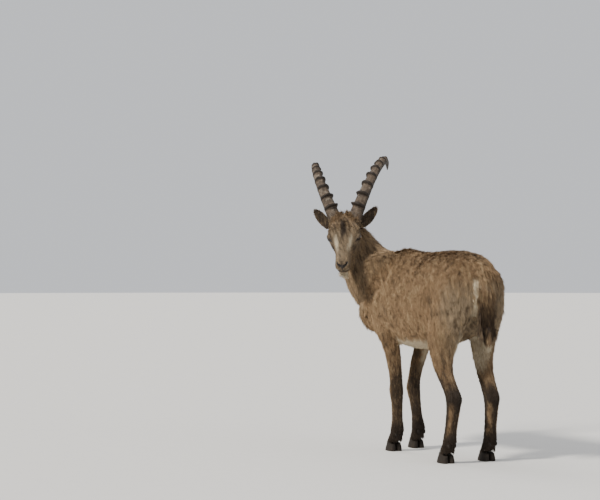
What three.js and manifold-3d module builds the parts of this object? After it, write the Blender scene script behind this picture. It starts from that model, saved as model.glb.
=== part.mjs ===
// A young male alpine ibex, life size, standing with its head turned back over its left side.
// The trunk looks along +X, +Y is the animal's left and +Z is up. The floor is at z = 0.
// Sizes are in millimetres.
import * as THREE from "three";
import { mergeVertices } from "three/addons/utils/BufferGeometryUtils.js";
import Module from "manifold-3d";

const wasm = await Module();
wasm.setup();

// Driving dimensions
const GAP = 0.3; // clearance between pieces that touch
const LOOKS = {
  torso: { color: 0x86643f, roughness: 0.95 },
  neck: { color: 0x7a5a3a, roughness: 0.95 },
  head: { color: 0x8a7257, roughness: 0.9 },
  tail: { color: 0x2c2018, roughness: 0.9 },
  leg: { color: 0x4f3a27, roughness: 0.9 },
  horn: { color: 0x4a4036, roughness: 0.6 },
  eye: { color: 0x3a2410, roughness: 0.1 },
  hoof: { color: 0x26211c, roughness: 0.5 },
  dewclaw: { color: 0x26211c, roughness: 0.5 },
};
const CENTRE = [199.6, 76.5]; // where the middle of the whole bounding box stands, seen from above

// The trunk from rump to breast: its middle, the back line, the belly line, half the width and the height
// at which it is widest.
// upper and lower are the powers of the section's halves: 2 is an ellipse, less is more peaked.
const TRUNK = [
  { x: -416, mid: 0, top: 738, bottom: 612, half: 44, widest: 684, upper: 2, lower: 2 },
  { x: -386, mid: 0, top: 784, bottom: 560, half: 76, widest: 684, upper: 1.9, lower: 2 },
  { x: -318, mid: 0, top: 822, bottom: 505, half: 106, widest: 684, upper: 1.8, lower: 2 },
  { x: -220, mid: 0, top: 838, bottom: 474, half: 124, widest: 670, upper: 1.8, lower: 2.1 },
  { x: -110, mid: 0, top: 840, bottom: 448, half: 136, widest: 640, upper: 1.7, lower: 2.2 },
  { x: 0, mid: 0, top: 834, bottom: 430, half: 140, widest: 612, upper: 1.7, lower: 2.2 },
  { x: 100, mid: 4, top: 836, bottom: 424, half: 136, widest: 600, upper: 1.6, lower: 2.1 },
  { x: 190, mid: 8, top: 850, bottom: 432, half: 128, widest: 600, upper: 1.6, lower: 2 },
  { x: 276, mid: 14, top: 844, bottom: 450, half: 126, widest: 600, upper: 1.6, lower: 2 },
  { x: 358, mid: 22, top: 804, bottom: 470, half: 126, widest: 600, upper: 1.8, lower: 2.2 },
  { x: 420, mid: 32, top: 740, bottom: 488, half: 110, widest: 616, upper: 2, lower: 2.3 },
  { x: 452, mid: 40, top: 690, bottom: 538, half: 72, widest: 626, upper: 2, lower: 2.2 },
];

// The left foreleg from the shoulder blade down to the coronet, as level sections: its centre, and how far it
// reaches each way. tuck draws the rear edge in towards the middle.
const FORELEG = [
  { z: 818, x: 192, y: 44, fore: 26, aft: 26, out: 10, in: 26, tuck: 0 },
  { z: 770, x: 216, y: 64, fore: 62, aft: 58, out: 27, in: 40, tuck: 0 },
  { z: 700, x: 258, y: 82, fore: 92, aft: 82, out: 42, in: 50, tuck: 8 },
  { z: 630, x: 296, y: 92, fore: 114, aft: 98, out: 50, in: 52, tuck: 12 },
  { z: 560, x: 288, y: 94, fore: 114, aft: 98, out: 50, in: 48, tuck: 12 },
  { z: 500, x: 248, y: 93, fore: 82, aft: 72, out: 45, in: 42, tuck: 8 },
  { z: 440, x: 228, y: 89, fore: 50, aft: 50, out: 37, in: 35, tuck: 4 },
  { z: 370, x: 222, y: 85, fore: 36, aft: 37, out: 30, in: 29, tuck: 0 },
  { z: 300, x: 219, y: 82, fore: 28, aft: 30, out: 26, in: 26, tuck: 0 },
  { z: 250, x: 221, y: 80, fore: 33, aft: 29, out: 29, in: 29, tuck: 0 },
  { z: 205, x: 216, y: 79, fore: 25, aft: 26, out: 24, in: 24, tuck: 0 },
  { z: 140, x: 211, y: 79, fore: 23, aft: 25, out: 22, in: 22, tuck: 0 },
  { z: 90, x: 209, y: 79, fore: 27, aft: 32, out: 28, in: 28, tuck: 0 },
  { z: 62, x: 221, y: 79, fore: 24, aft: 26, out: 25, in: 25, tuck: 0 },
  { z: 34, x: 233, y: 79, fore: 25, aft: 29, out: 28, in: 28, tuck: 0 },
];

// The left hind leg from the hip down to the coronet, in the same way.
const HINDLEG = [
  { z: 808, x: -246, y: 42, fore: 46, aft: 46, out: 16, in: 26, tuck: 4 },
  { z: 765, x: -268, y: 64, fore: 98, aft: 100, out: 38, in: 50, tuck: 14 },
  { z: 700, x: -272, y: 82, fore: 124, aft: 132, out: 50, in: 60, tuck: 28 },
  { z: 620, x: -256, y: 92, fore: 126, aft: 144, out: 50, in: 60, tuck: 34 },
  { z: 550, x: -236, y: 95, fore: 114, aft: 134, out: 48, in: 54, tuck: 32 },
  { z: 490, x: -218, y: 98, fore: 94, aft: 110, out: 44, in: 46, tuck: 24 },
  { z: 430, x: -220, y: 99, fore: 70, aft: 82, out: 38, in: 37, tuck: 12 },
  { z: 370, x: -240, y: 99, fore: 50, aft: 56, out: 32, in: 31, tuck: 4 },
  { z: 320, x: -272, y: 96, fore: 40, aft: 50, out: 28, in: 28, tuck: 0 },
  { z: 282, x: -300, y: 93, fore: 38, aft: 52, out: 27, in: 27, tuck: 0 },
  { z: 254, x: -316, y: 92, fore: 38, aft: 48, out: 29, in: 29, tuck: 0 },
  { z: 222, x: -313, y: 92, fore: 33, aft: 38, out: 26, in: 26, tuck: 0 },
  { z: 180, x: -304, y: 92, fore: 29, aft: 31, out: 25, in: 25, tuck: 0 },
  { z: 130, x: -291, y: 92, fore: 27, aft: 29, out: 24, in: 24, tuck: 0 },
  { z: 90, x: -282, y: 92, fore: 28, aft: 33, out: 28, in: 28, tuck: 0 },
  { z: 62, x: -268, y: 92, fore: 25, aft: 27, out: 25, in: 25, tuck: 0 },
  { z: 34, x: -255, y: 92, fore: 25, aft: 29, out: 28, in: 28, tuck: 0 },
];

// Where each leg leaves the trunk, and how far its knee or hock and its foot are moved from the table's place.
const LEGS = [
  { name: "fore_left", rows: FORELEG, side: 1, cut: 500, knee: [-20, -8], foot: [-14, -6] },
  { name: "fore_right", rows: FORELEG, side: -1, cut: 500, knee: [82, -16], foot: [50, -10] },
  { name: "hind_left", rows: HINDLEG, side: 1, cut: 520, knee: [6, 4], foot: [0, 4] },
  { name: "hind_right", rows: HINDLEG, side: -1, cut: 520, knee: [16, -12], foot: [0, -2] },
];
const MOVED = [560, 260, 40]; // heights of the elbow or stifle, the knee or hock, and the foot

// The neck from inside the chest to inside the head: its middle, and how far it reaches up, down and aside.
const NECK = [
  { x: 190, y: 4, z: 690, up: 128, down: 150, side: 92 },
  { x: 280, y: 20, z: 712, up: 134, down: 186, side: 116 },
  { x: 366, y: 60, z: 744, up: 121, down: 186, side: 130 },
  { x: 424, y: 95, z: 792, up: 92, down: 146, side: 110 },
  { x: 450, y: 124, z: 844, up: 80, down: 98, side: 92 },
  { x: 456, y: 156, z: 892, up: 66, down: 76, side: 78 },
  { x: 450, y: 182, z: 934, up: 46, down: 52, side: 50 },
];
// Which way the neck runs and which way its back faces, at the withers and at the head
const NECK_FROM = { ahead: [0.95, 0.1, 0.35], up: [-0.5, 0, 0.86] };
const NECK_TO = { ahead: [-0.2, 0.5, 0.84], up: [-0.96, 0, -0.22] };
const NECK_CUT = { at: [300, 0, 740], facing: [0.8, 0.08, 0.6] };

// The head in its own frame: +X to the nose, +Y to its left, +Z out of the forehead. Its origin is at the poll.
const HEAD = {
  at: [437, 191, 960],
  heading: 149, // degrees from +X
  pitch: 42, // degrees below level
  roll: 3, // degrees, left side up
};
const SKULL = [
  { x: -42, mid: 0, top: -2, bottom: -46, half: 26, widest: -20, upper: 2, lower: 2 },
  { x: -24, mid: 0, top: 32, bottom: -70, half: 48, widest: -16, upper: 2.2, lower: 2 },
  { x: 8, mid: 0, top: 48, bottom: -88, half: 61, widest: -12, upper: 2.4, lower: 1.9 },
  { x: 46, mid: 0, top: 51, bottom: -98, half: 66, widest: -8, upper: 2.5, lower: 1.8 },
  { x: 88, mid: 0, top: 43, bottom: -98, half: 66, widest: -4, upper: 2.4, lower: 1.7 },
  { x: 126, mid: 0, top: 29, bottom: -90, half: 52, widest: -16, upper: 2.1, lower: 1.8 },
  { x: 164, mid: 0, top: 18, bottom: -80, half: 38, widest: -26, upper: 2.1, lower: 1.9 },
  { x: 202, mid: 0, top: 12, bottom: -74, half: 34, widest: -28, upper: 2.2, lower: 2.3 },
  { x: 236, mid: 0, top: 4, bottom: -72, half: 32, widest: -30, upper: 2.3, lower: 2.4 },
  { x: 262, mid: 0, top: -10, bottom: -64, half: 25, widest: -32, upper: 2.2, lower: 2.4 },
];
// Soft swellings and hollows of the skull: where, how far each reaches, and how far it pushes the skin.
// Those of the left side are repeated on the right.
const SIDE_SWELLS = [
  { at: [88, 56, 27], reach: [30, 20, 17], push: [0, 8, 9] }, // brow
  { at: [112, 66, -2], reach: [36, 26, 26], push: [0, 10, 0] }, // rim of the eye
  { at: [12, 42, 40], reach: [32, 26, 22], push: [2, 0, 8] }, // root of the horn
  { at: [48, 62, 6], reach: [20, 22, 18], push: [0, -8, -2] }, // temple
  { at: [66, 46, -60], reach: [44, 26, 30], push: [0, 6, -5] }, // jaw
  { at: [142, 44, -22], reach: [36, 20, 12], push: [0, 4, 0] }, // cheekbone
  { at: [174, 38, -48], reach: [28, 22, 20], push: [0, -5, 0] }, // hollow of the cheek
  { at: [258, 20, -18], reach: [17, 13, 12], push: [5, 5, 5] }, // wing of the nostril
  { at: [252, 24, -36], reach: [26, 18, 10], push: [6, 5, -1] }, // upper lip
];
const MIDDLE_SWELLS = [
  { at: [40, 0, 50], reach: [38, 28, 24], push: [0, 0, 6] }, // forehead
  { at: [264, 0, -30], reach: [20, 14, 16], push: [7, 0, 0] }, // tip of the nose
  { at: [244, 0, -66], reach: [24, 24, 14], push: [4, 0, -5] }, // chin
];
const EYE = { at: [104, 59, 3], radius: 14.2, lid: 3 };
// Hollows of the head: the opening between the lids, the nostril with its side slit, the groove of the lip
// and the line of the mouth.
const LID_OPENING = { at: [104, 79, 2], size: [14.5, 16, 8.4], turn: [0, 14, 0] };
const NOSTRIL = { at: [276, 11, -24], size: [15, 6.5, 10], turn: [-40, 0, 0] };
const NOSTRIL_SLIT = { at: [272, 18, -15], size: [15, 12, 4.5], turn: [40, 0, 0] };
const LIP_GROOVE = { at: [282, 0, -40], size: [9, 1.4, 10] };
const MOUTH = { at: [246, 0, -50], size: [46, 50, 2.2], turn: [0, 3, 0], depth: 5 };

// An ear: where it grows, which way it points and which way its hollow faces, for the left one.
const EAR = {
  root: [22, 57, -22],
  along: [-73, 78, 53],
  hollow: [0.72, 0.3, 0.61],
  width: 50,
  thick: 8,
  cup: 14,
};

// A horn: an arc in a plane that leans out from the middle of the head.
const HORN = {
  root: [-0.5, 43, 20],
  radius: 275, // of the arc along its middle
  start: 4, // degrees back from upright at the root
  arc: 114, // degrees
  lean: 21.5, // degrees out to the side
  spread: 3, // degrees by which the tips point apart
  deep: 62, // size at the root, fore and aft
  wide: 58,
  slim: 0.3, // size at the tip as a share of the root, before it is rounded off
  knobs: 8,
  firstKnob: 0.09, // along the horn, from 0 to 1
  knobStep: 0.088,
  knobLong: 0.02,
  knobHigh: 8,
};
const HORN_BY_SIDE = { left: 1.06, right: 1 }; // the left horn is a little longer

const HOOF = { long: 72, wide: 29, tall: 60, apart: 29.4, slope: 14 }; // the coronet slopes down to the heel
const CORONET = 36; // its height above the sole under the middle of the leg
const DEWCLAW = { long: 20, wide: 15, out: 14, behind: 42, high: 72 };

const TAIL = { root: [-400, 10, 742], tip: [-416, 18, 502], wide: 72, deep: 34, locks: 18 };
const BEARD = { locks: 7, long: 26 };

// Small helpers
const vec = (p) => new THREE.Vector3(...p);
const rad = THREE.MathUtils.degToRad;
const { clamp, lerp } = THREE.MathUtils;
const mirror = (p, side) => [p[0], p[1] * side, p[2]];

// The row of a table at s from 0 to 1, read smoothly between its rows.
function rowAt(rows, s) {
  const t = clamp(s, 0, 1) * (rows.length - 1);
  const i = Math.min(Math.floor(t), rows.length - 2);
  const f = t - i;
  const row = {};
  for (const key of Object.keys(rows[0])) {
    const b = rows[i][key];
    const c = rows[i + 1][key];
    const a = i > 0 ? rows[i - 1][key] : 2 * b - c;
    const d = i + 2 < rows.length ? rows[i + 2][key] : 2 * c - b;
    row[key] = b + 0.5 * f * (c - a + f * (2 * a - 5 * b + 4 * c - d + f * (3 * (b - c) + d - a)));
  }
  return row;
}

// A closed skin: place(turn, along) gives each point, with turn and along from 0 to 1.
function skin(around, steps, place) {
  const shape = new THREE.SphereGeometry(1, around, steps);
  const at = shape.attributes.position;
  const uv = shape.attributes.uv;
  for (let i = 0; i < at.count; i++) {
    const along = 1 - uv.getY(i);
    const pole = along < 1e-6 || along > 1 - 1e-6;
    at.setXYZ(i, ...place(pole ? 0 : uv.getX(i), along));
  }
  return solid(shape);
}

// A closed geometry as a solid, whichever way its faces were wound.
function solid(shape) {
  shape.deleteAttribute("normal");
  shape.deleteAttribute("uv");
  const merged = mergeVertices(shape, 1e-4);
  const vertProperties = merged.attributes.position.array;
  const triVerts = new Uint32Array(merged.index.array);
  const made = new wasm.Manifold(new wasm.Mesh({ numProp: 3, vertProperties, triVerts }));
  if (made.volume() > 0) return made;
  return new wasm.Manifold(new wasm.Mesh({ numProp: 3, vertProperties, triVerts: triVerts.reverse() }));
}

// An ellipsoid, turned about X, Y and Z by degrees and moved into place.
function ball({ at, size, turn = [0, 0, 0] }, around = 16, steps = 10) {
  const shape = new THREE.SphereGeometry(1, around, steps);
  shape.scale(...size);
  shape.applyMatrix4(new THREE.Matrix4().makeRotationFromEuler(new THREE.Euler(...turn.map(rad))));
  shape.translate(...at);
  return solid(shape);
}

// The same form on one side of the middle or the other.
function onSide(form, side) {
  const [x, y, z] = form.turn ?? [0, 0, 0];
  return { ...form, at: mirror(form.at, side), turn: [x * side, y, z * side] };
}

const join = (...solids) => solids.flat().reduce((a, b) => a.add(b));
const largest = (s) => s.decompose().sort((a, b) => b.volume() - a.volume())[0];
const power = (x, p) => Math.sign(x) * Math.abs(x) ** (2 / p);

// How full a section is near the two ends of a skin, which close as domes.
function dome(s, first, last) {
  const a = s < first ? 1 - s / first : 0;
  const b = s > 1 - last ? 1 - (1 - s) / last : 0;
  return Math.sqrt(Math.max(0, 1 - Math.max(a, b) ** 2));
}
// Spaces rings closer together near both ends.
const ends = (v, k = 0.7) => v - (k * Math.sin(2 * Math.PI * v)) / (2 * Math.PI);

// Sections that stand across +X, for the trunk and the head. domes says how much of its length each end takes.
function crosswise({ rows, around, steps, domes, grow = 0, swell = (p) => p }) {
  return skin(around, steps, (turn, along) => {
    const s = ends(along);
    const r = rowAt(rows, s);
    const full = dome(s, ...domes);
    const c = Math.cos(2 * Math.PI * turn);
    const w = Math.sin(2 * Math.PI * turn);
    const p = w > 0 ? r.upper : r.lower;
    const tall = (w > 0 ? r.top - r.widest : r.widest - r.bottom) + grow;
    return swell([
      r.x + (along < 0.5 ? -grow : grow) * (1 - full),
      r.mid + (r.half + grow) * full * power(c, w > 0 ? 2 : r.lower),
      r.widest + tall * full * power(w, p),
    ]);
  });
}

const trunkSkin = (grow = 0) => crosswise({ rows: TRUNK, around: 30, steps: 24, domes: [0.06, 0.1], grow });

// How far a leg is moved ahead and out at a height.
function moved(leg, z) {
  const bent = THREE.MathUtils.smoothstep(-z, -MOVED[0], -MOVED[1]);
  const straight = clamp((MOVED[1] - z) / (MOVED[1] - MOVED[2]), 0, 1);
  return [0, 1].map((i) => leg.knee[i] * bent + (leg.foot[i] - leg.knee[i]) * straight);
}

// Level sections, for the legs.
function legSkin(leg, grow = 0) {
  return skin(14, 30, (turn, along) => {
    const s = ends(along, 0.35);
    const r = rowAt(leg.rows, s);
    const full = dome(s, 0.1, 0.015);
    const move = moved(leg, r.z);
    const c = Math.cos(2 * Math.PI * turn);
    const w = Math.sin(2 * Math.PI * turn);
    const y = r.y + move[1] + ((w > 0 ? r.out : r.in) + grow) * full * w;
    return [
      r.x + move[0] + ((c > 0 ? r.fore : r.aft) + grow) * full * c,
      leg.side * (y - r.tuck * Math.max(0, -c) ** 2),
      r.z,
    ];
  });
}

// The neck: sections across its bent middle line.
function neckSkin() {
  return skin(24, 14, (turn, along) => {
    const r = rowAt(NECK, along);
    const full = dome(along, 0.08, 0.12);
    const ahead = vec(NECK_FROM.ahead).lerp(vec(NECK_TO.ahead), along).normalize();
    const crest = vec(NECK_FROM.up).lerp(vec(NECK_TO.up), along);
    const side = new THREE.Vector3().crossVectors(crest, ahead).normalize();
    const up = new THREE.Vector3().crossVectors(ahead, side);
    const c = Math.cos(2 * Math.PI * turn);
    const w = Math.sin(2 * Math.PI * turn);
    const at = vec([r.x, r.y, r.z]);
    at.addScaledVector(side, r.side * full * c * (1 - 0.25 * (1 - along) * Math.max(0, w)));
    at.addScaledVector(up, (w > 0 ? r.up : r.down) * full * w);
    return at.toArray();
  });
}

// The head's own frame, placed in the whole.
function headMatrix() {
  const level = vec([Math.cos(rad(HEAD.heading)), Math.sin(rad(HEAD.heading)), 0]);
  const nose = level.clone().multiplyScalar(Math.cos(rad(HEAD.pitch)));
  nose.z = -Math.sin(rad(HEAD.pitch));
  const left = vec([-level.y, level.x, 0]).applyAxisAngle(nose, rad(HEAD.roll));
  const brow = new THREE.Vector3().crossVectors(nose, left);
  return new THREE.Matrix4().makeBasis(nose, left, brow).setPosition(vec(HEAD.at));
}
const onHead = (s) => s.transform(headMatrix().elements);

// An ear: a thin sheet with a rounded outline, bent into a cup along its length.
function earSkin(side, grow = 0) {
  const root = vec(mirror(EAR.root, side));
  const along = vec(mirror(EAR.along, side));
  const hollow = vec(mirror(EAR.hollow, side));
  const across = new THREE.Vector3().crossVectors(hollow, along).normalize();
  const face = new THREE.Vector3().crossVectors(along, across).normalize();
  return skin(12, 12, (turn, s) => {
    const c = Math.cos(2 * Math.PI * turn);
    const w = Math.sin(2 * Math.PI * turn);
    const t = 1 - (1 - s) ** 1.7;
    const full = dome(t, 0.12, 0.62) * lerp(0.62, 1, Math.min(1, t * 2.4));
    const half = (EAR.width / 2) * full + grow;
    const at = root.clone().addScaledVector(along, t);
    at.addScaledVector(across, half * c);
    at.addScaledVector(face, EAR.cup * full * (c * c - 0.5) + (EAR.thick / 2 + grow) * dome(t, 0.12, 0.3) * w);
    return at.toArray();
  });
}

// The skull with its swellings.
function skullSkin(grow = 0) {
  const swells = [...MIDDLE_SWELLS];
  for (const side of [1, -1]) {
    for (const swell of SIDE_SWELLS) {
      swells.push({ ...swell, at: mirror(swell.at, side), push: mirror(swell.push, side) });
    }
  }
  const swell = (p) => {
    const pushed = vec(p);
    for (const { at, reach, push } of swells) {
      const off = reach.reduce((sum, r, i) => sum + ((p[i] - at[i]) / r) ** 2, 0);
      pushed.addScaledVector(vec(push), Math.exp(-off));
    }
    return pushed.toArray();
  };
  return crosswise({ rows: SKULL, around: 28, steps: 30, domes: [0.1, 0.1], grow, swell });
}

// The head without its eyes and horns.
function headSkin(grow = 0) {
  const parts = [skullSkin(grow)];
  for (const side of [1, -1]) parts.push(eyeBall(side, grow + EYE.lid), earSkin(side, grow));
  return join(parts);
}

// What is cut out of the head: the room for the eyes, the lid openings, the nostrils and the line of the mouth.
function headHollows() {
  const cuts = [ball(LIP_GROOVE, 8, 6)];
  for (const side of [1, -1]) {
    cuts.push(eyeBall(side, GAP));
    cuts.push(ball(onSide(LID_OPENING, side), 16, 8));
    cuts.push(ball(onSide(NOSTRIL, side), 10, 6));
    cuts.push(ball(onSide(NOSTRIL_SLIT, side), 10, 6));
  }
  cuts.push(ball(MOUTH, 20, 4).subtract(skullSkin(-MOUTH.depth)));
  return join(cuts);
}

function eyeBall(side, grow = 0) {
  const size = EYE.radius + grow;
  return ball({ at: mirror(EYE.at, side), size: [size, size, size] }, 14, 10);
}

// A lock of hair: flat, curved and tapered, from root to tip. across is the way it is wide.
function lock({ root, tip, across, width, thick, bow = [0, 0, 0] }) {
  const run = vec(tip).sub(vec(root)).normalize();
  const wide = vec(across).addScaledVector(run, -vec(across).dot(run)).normalize();
  const deep = new THREE.Vector3().crossVectors(run, wide);
  return skin(6, 4, (turn, along) => {
    const full = dome(along, 0.25, 0.8);
    const c = Math.cos(2 * Math.PI * turn);
    const w = Math.sin(2 * Math.PI * turn);
    const at = vec(root).lerp(vec(tip), along).addScaledVector(vec(bow), 4 * along * (1 - along));
    at.addScaledVector(wide, (width / 2) * full * c);
    at.addScaledVector(deep, (thick / 2) * full * w);
    return at.toArray();
  });
}

// Steady scatter between -1 and 1: the same number for the same count and seed.
const scatter = (i, seed) => (Math.sin(i * 12.9898 + seed * 78.233) * 43758.5453) % 1;

// Where a horn's rings stand along it: a few at the root, four at each knob, and the rest to the tip.
function hornRings() {
  const rings = [0, 0.004];
  for (let i = 0; i < HORN.knobs; i++) {
    for (const offset of [-1, -0.25, 0.25, 1]) rings.push(knobAt(i) + offset * HORN.knobLong);
  }
  const smooth = 8;
  const last = rings[rings.length - 1];
  for (let i = 1; i <= smooth; i++) rings.push(lerp(last, 1, Math.sin((i / smooth) * (Math.PI / 2))));
  return rings;
}

// The middle of a knob, as a share of the horn's length.
const knobAt = (i) => HORN.firstKnob + i * HORN.knobStep;

// How high the knobs stand at a place along the horn, from 0 to 1.
function knobHeight(s) {
  let high = 0;
  for (let i = 0; i < HORN.knobs; i++) {
    const off = Math.abs(s - knobAt(i)) / HORN.knobLong;
    high = Math.max(high, clamp((1 - off) / 0.75, 0, 1) * lerp(1, 0.55, i / HORN.knobs));
  }
  return high;
}

function hornSkin(side, stretch, grow = 0) {
  const h = HORN;
  const rings = hornRings();
  const made = skin(12, rings.length - 1, (turn, along) => {
    const s = rings[Math.round(along * (rings.length - 1))];
    const start = rad(h.start);
    const radius = h.radius * stretch;
    const bend = start + rad(h.arc) * s - (1.5 * grow) / radius;
    const full = dome(s, 0.004, 0.36);
    const size = lerp(1, h.slim, s ** 0.85);
    const c = Math.cos(2 * Math.PI * turn);
    const w = Math.sin(2 * Math.PI * turn);
    const front = c > 0 ? c ** 0.8 : c;
    const inner = 1 - 0.3 * w;
    const knob = h.knobHigh * knobHeight(s) * Math.max(0, c) ** 0.5 * inner;
    const reach = ((h.deep / 2) * size + grow) * full * front + (c > 0 ? knob : 0);
    return [
      radius * (Math.cos(bend) - Math.cos(start)) + reach * Math.cos(bend),
      side * ((h.wide / 2) * size + grow + 0.3 * knob) * full * w,
      radius * (Math.sin(bend) - Math.sin(start)) + reach * Math.sin(bend),
    ];
  });
  return made
    .rotate([-h.lean * side, 0, 0])
    .rotate([0, 0, -h.spread * side])
    .rotate([0, -HEAD.pitch, 0])
    .translate(mirror(h.root, side));
}

// One claw of a hoof: a sloping front wall, a flat sole, and a flat face to the other claw. way is 1 or -1.
function claw(way) {
  const rings = 5;
  return skin(14, rings + 1, (turn, along) => {
    const ring = Math.round(along * (rings + 1));
    const full = ring === 0 || ring === rings + 1 ? 0 : 1;
    const low = clamp((ring - 1) / (rings - 1), 0, 1);
    const c = Math.cos(2 * Math.PI * turn);
    const w = Math.sin(2 * Math.PI * turn);
    const fore = lerp(HOOF.long * 0.36, HOOF.long * 0.64, low);
    const aft = lerp(HOOF.long * 0.4, HOOF.long * 0.36, low);
    const out = lerp(0.94, 1, low) * (w > 0 ? HOOF.wide : HOOF.wide - 2 * GAP) * 0.5;
    return [
      full * (c > 0 ? fore : aft) * c,
      way * full * out * Math.sign(w) * Math.abs(w) ** 0.7,
      HOOF.tall * (1 - low),
    ];
  });
}

function dewclaw() {
  return ball({ at: [0, 0, 0], size: [DEWCLAW.wide / 2, DEWCLAW.wide / 2, DEWCLAW.long / 2] }, 8, 5);
}

// The tail: a flat brush of hair.
function tailSkin(grow = 0) {
  return skin(12, 10, (turn, along) => {
    const full = dome(along, 0.2, 0.3);
    const c = Math.cos(2 * Math.PI * turn);
    const w = Math.sin(2 * Math.PI * turn);
    const at = vec(TAIL.root).lerp(vec(TAIL.tip), along);
    const bow = Math.sin(Math.PI * along) * -12;
    return [
      at.x + bow + (TAIL.deep / 2 + grow) * full * w,
      at.y + (TAIL.wide / 2 + grow) * full * c * lerp(0.7, 1, Math.min(1, along * 2)),
      at.z,
    ];
  });
}

// Locks that hang over the tail's outside and past its end.
function tailLocks() {
  const locks = [];
  for (let i = 0; i < TAIL.locks; i++) {
    const along = lerp(0.12, 0.8, i / (TAIL.locks - 1));
    const aside = ((i * 0.618) % 1) * 2 - 1;
    const from = vec(TAIL.root).lerp(vec(TAIL.tip), along);
    const root = [from.x - 16 * (1 - Math.abs(aside)) - 6, from.y + aside * TAIL.wide * 0.36, from.z];
    const long = lerp(56, 74, Math.abs(scatter(i, 2)));
    const tip = [root[0] - 6 - 6 * scatter(i, 3), root[1] + aside * 7, root[2] - long];
    locks.push(lock({ root, tip, across: [0.3 * aside, 1, 0], width: 20, thick: 9, bow: [-5, 3 * aside, 0] }));
  }
  return join(locks);
}

// Short bristles under the chin.
function chinLocks() {
  const locks = [];
  for (let i = 0; i < BEARD.locks; i++) {
    const aside = (i / (BEARD.locks - 1)) * 2 - 1;
    const root = [232 + 10 * scatter(i, 4), aside * 14, -71 + 6 * Math.abs(aside)];
    const fall = BEARD.long * (0.8 + 0.3 * scatter(i, 5));
    const tip = [root[0] + BEARD.long * 0.5, root[1] + aside * 5, root[2] - fall];
    locks.push(lock({ root, tip, across: [1, 0.6 * aside, 0], width: 11, thick: 6, bow: [2, 0, 0] }));
  }
  return join(locks);
}

// What of a solid lies below a height.
const below = (s, z) => s.trimByPlane([0, 0, -1], -z);
const nodes = {};

// Legs, and the trunk they are cut free from
const uppers = [];
const sockets = [];
for (const leg of LEGS) {
  const whole = legSkin(leg);
  leg.room = legSkin(leg, GAP);
  uppers.push(whole);
  sockets.push(below(leg.room, leg.cut + GAP));
  nodes["leg_" + leg.name] = below(whole, leg.cut);
}
const fullBody = join(trunkSkin(), uppers, neckSkin()).subtract(join(sockets));

const headRoom = headSkin(2 * GAP);
const facing = vec(NECK_CUT.facing).normalize();
const cutAt = vec(NECK_CUT.at).dot(facing);
const behind = facing.clone().negate().toArray();
nodes.torso = largest(fullBody.trimByPlane(behind, GAP / 2 - cutAt).subtract(tailSkin(GAP)));
nodes.neck = largest(fullBody.trimByPlane(facing.toArray(), cutAt + GAP / 2).subtract(onHead(headRoom)));
// the locks keep clear of the rump, and the tail's core lies in a recess of it
const bodyRoom = join(trunkSkin(2 * GAP), LEGS.map((leg) => leg.room));
nodes.tail = largest(join(tailSkin(), tailLocks().subtract(bodyRoom)));

let head = join(headSkin(), chinLocks());
for (const [name, side] of [["left", 1], ["right", -1]]) {
  nodes["horn_" + name] = onHead(hornSkin(side, HORN_BY_SIDE[name]));
  head = head.subtract(hornSkin(side, HORN_BY_SIDE[name], GAP));
  nodes["eye_" + name] = onHead(eyeBall(side));
}
nodes.head = onHead(largest(head.subtract(headHollows())));

for (const leg of LEGS) {
  const foot = leg.rows[leg.rows.length - 1];
  const x = foot.x + leg.foot[0];
  const y = leg.side * (foot.y + leg.foot[1]);
  // the coronet: a plane that slopes down to the heel
  const down = [Math.sin(rad(HOOF.slope)), 0, -Math.cos(rad(HOOF.slope))];
  const level = (height) => down[0] * x + down[2] * height;
  const name = "leg_" + leg.name;
  nodes[name] = nodes[name].trimByPlane(down.map((v) => -v), -level(CORONET));
  for (const [sideName, way] of [["outer", 1], ["inner", -1]]) {
    const toe = claw(way * leg.side).translate([x, y + (way * leg.side * HOOF.apart) / 2, 0]);
    nodes["hoof_" + leg.name + "_" + sideName] = toe.trimByPlane(down, level(CORONET - GAP));
    const dew = [x - DEWCLAW.behind, y + way * leg.side * DEWCLAW.out, DEWCLAW.high];
    nodes["dewclaw_" + leg.name + "_" + sideName] = dewclaw().translate(dew).subtract(leg.room);
  }
}

const ibex = new THREE.Group();
for (const [name, made] of Object.entries(nodes)) {
  const { vertProperties, triVerts } = made.translate([-CENTRE[0], -CENTRE[1], 0]).getMesh();
  const shape = new THREE.BufferGeometry();
  shape.setAttribute("position", new THREE.BufferAttribute(vertProperties, 3));
  shape.setIndex(new THREE.BufferAttribute(triVerts, 1));
  const kind = name.split("_")[0];
  const mesh = new THREE.Mesh(shape, new THREE.MeshStandardMaterial({ ...LOOKS[kind], metalness: 0 }));
  mesh.name = name;
  ibex.add(mesh);
}
export default ibex;
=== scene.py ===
"""A life-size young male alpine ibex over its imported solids: a Blender add-on, run as a script."""
import math
from contextlib import contextmanager

import bmesh
import bpy
import numpy as np
from bpy.props import FloatProperty, FloatVectorProperty, IntProperty, PointerProperty
from mathutils import Matrix, Vector
from mathutils.bvhtree import BVHTree


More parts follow.
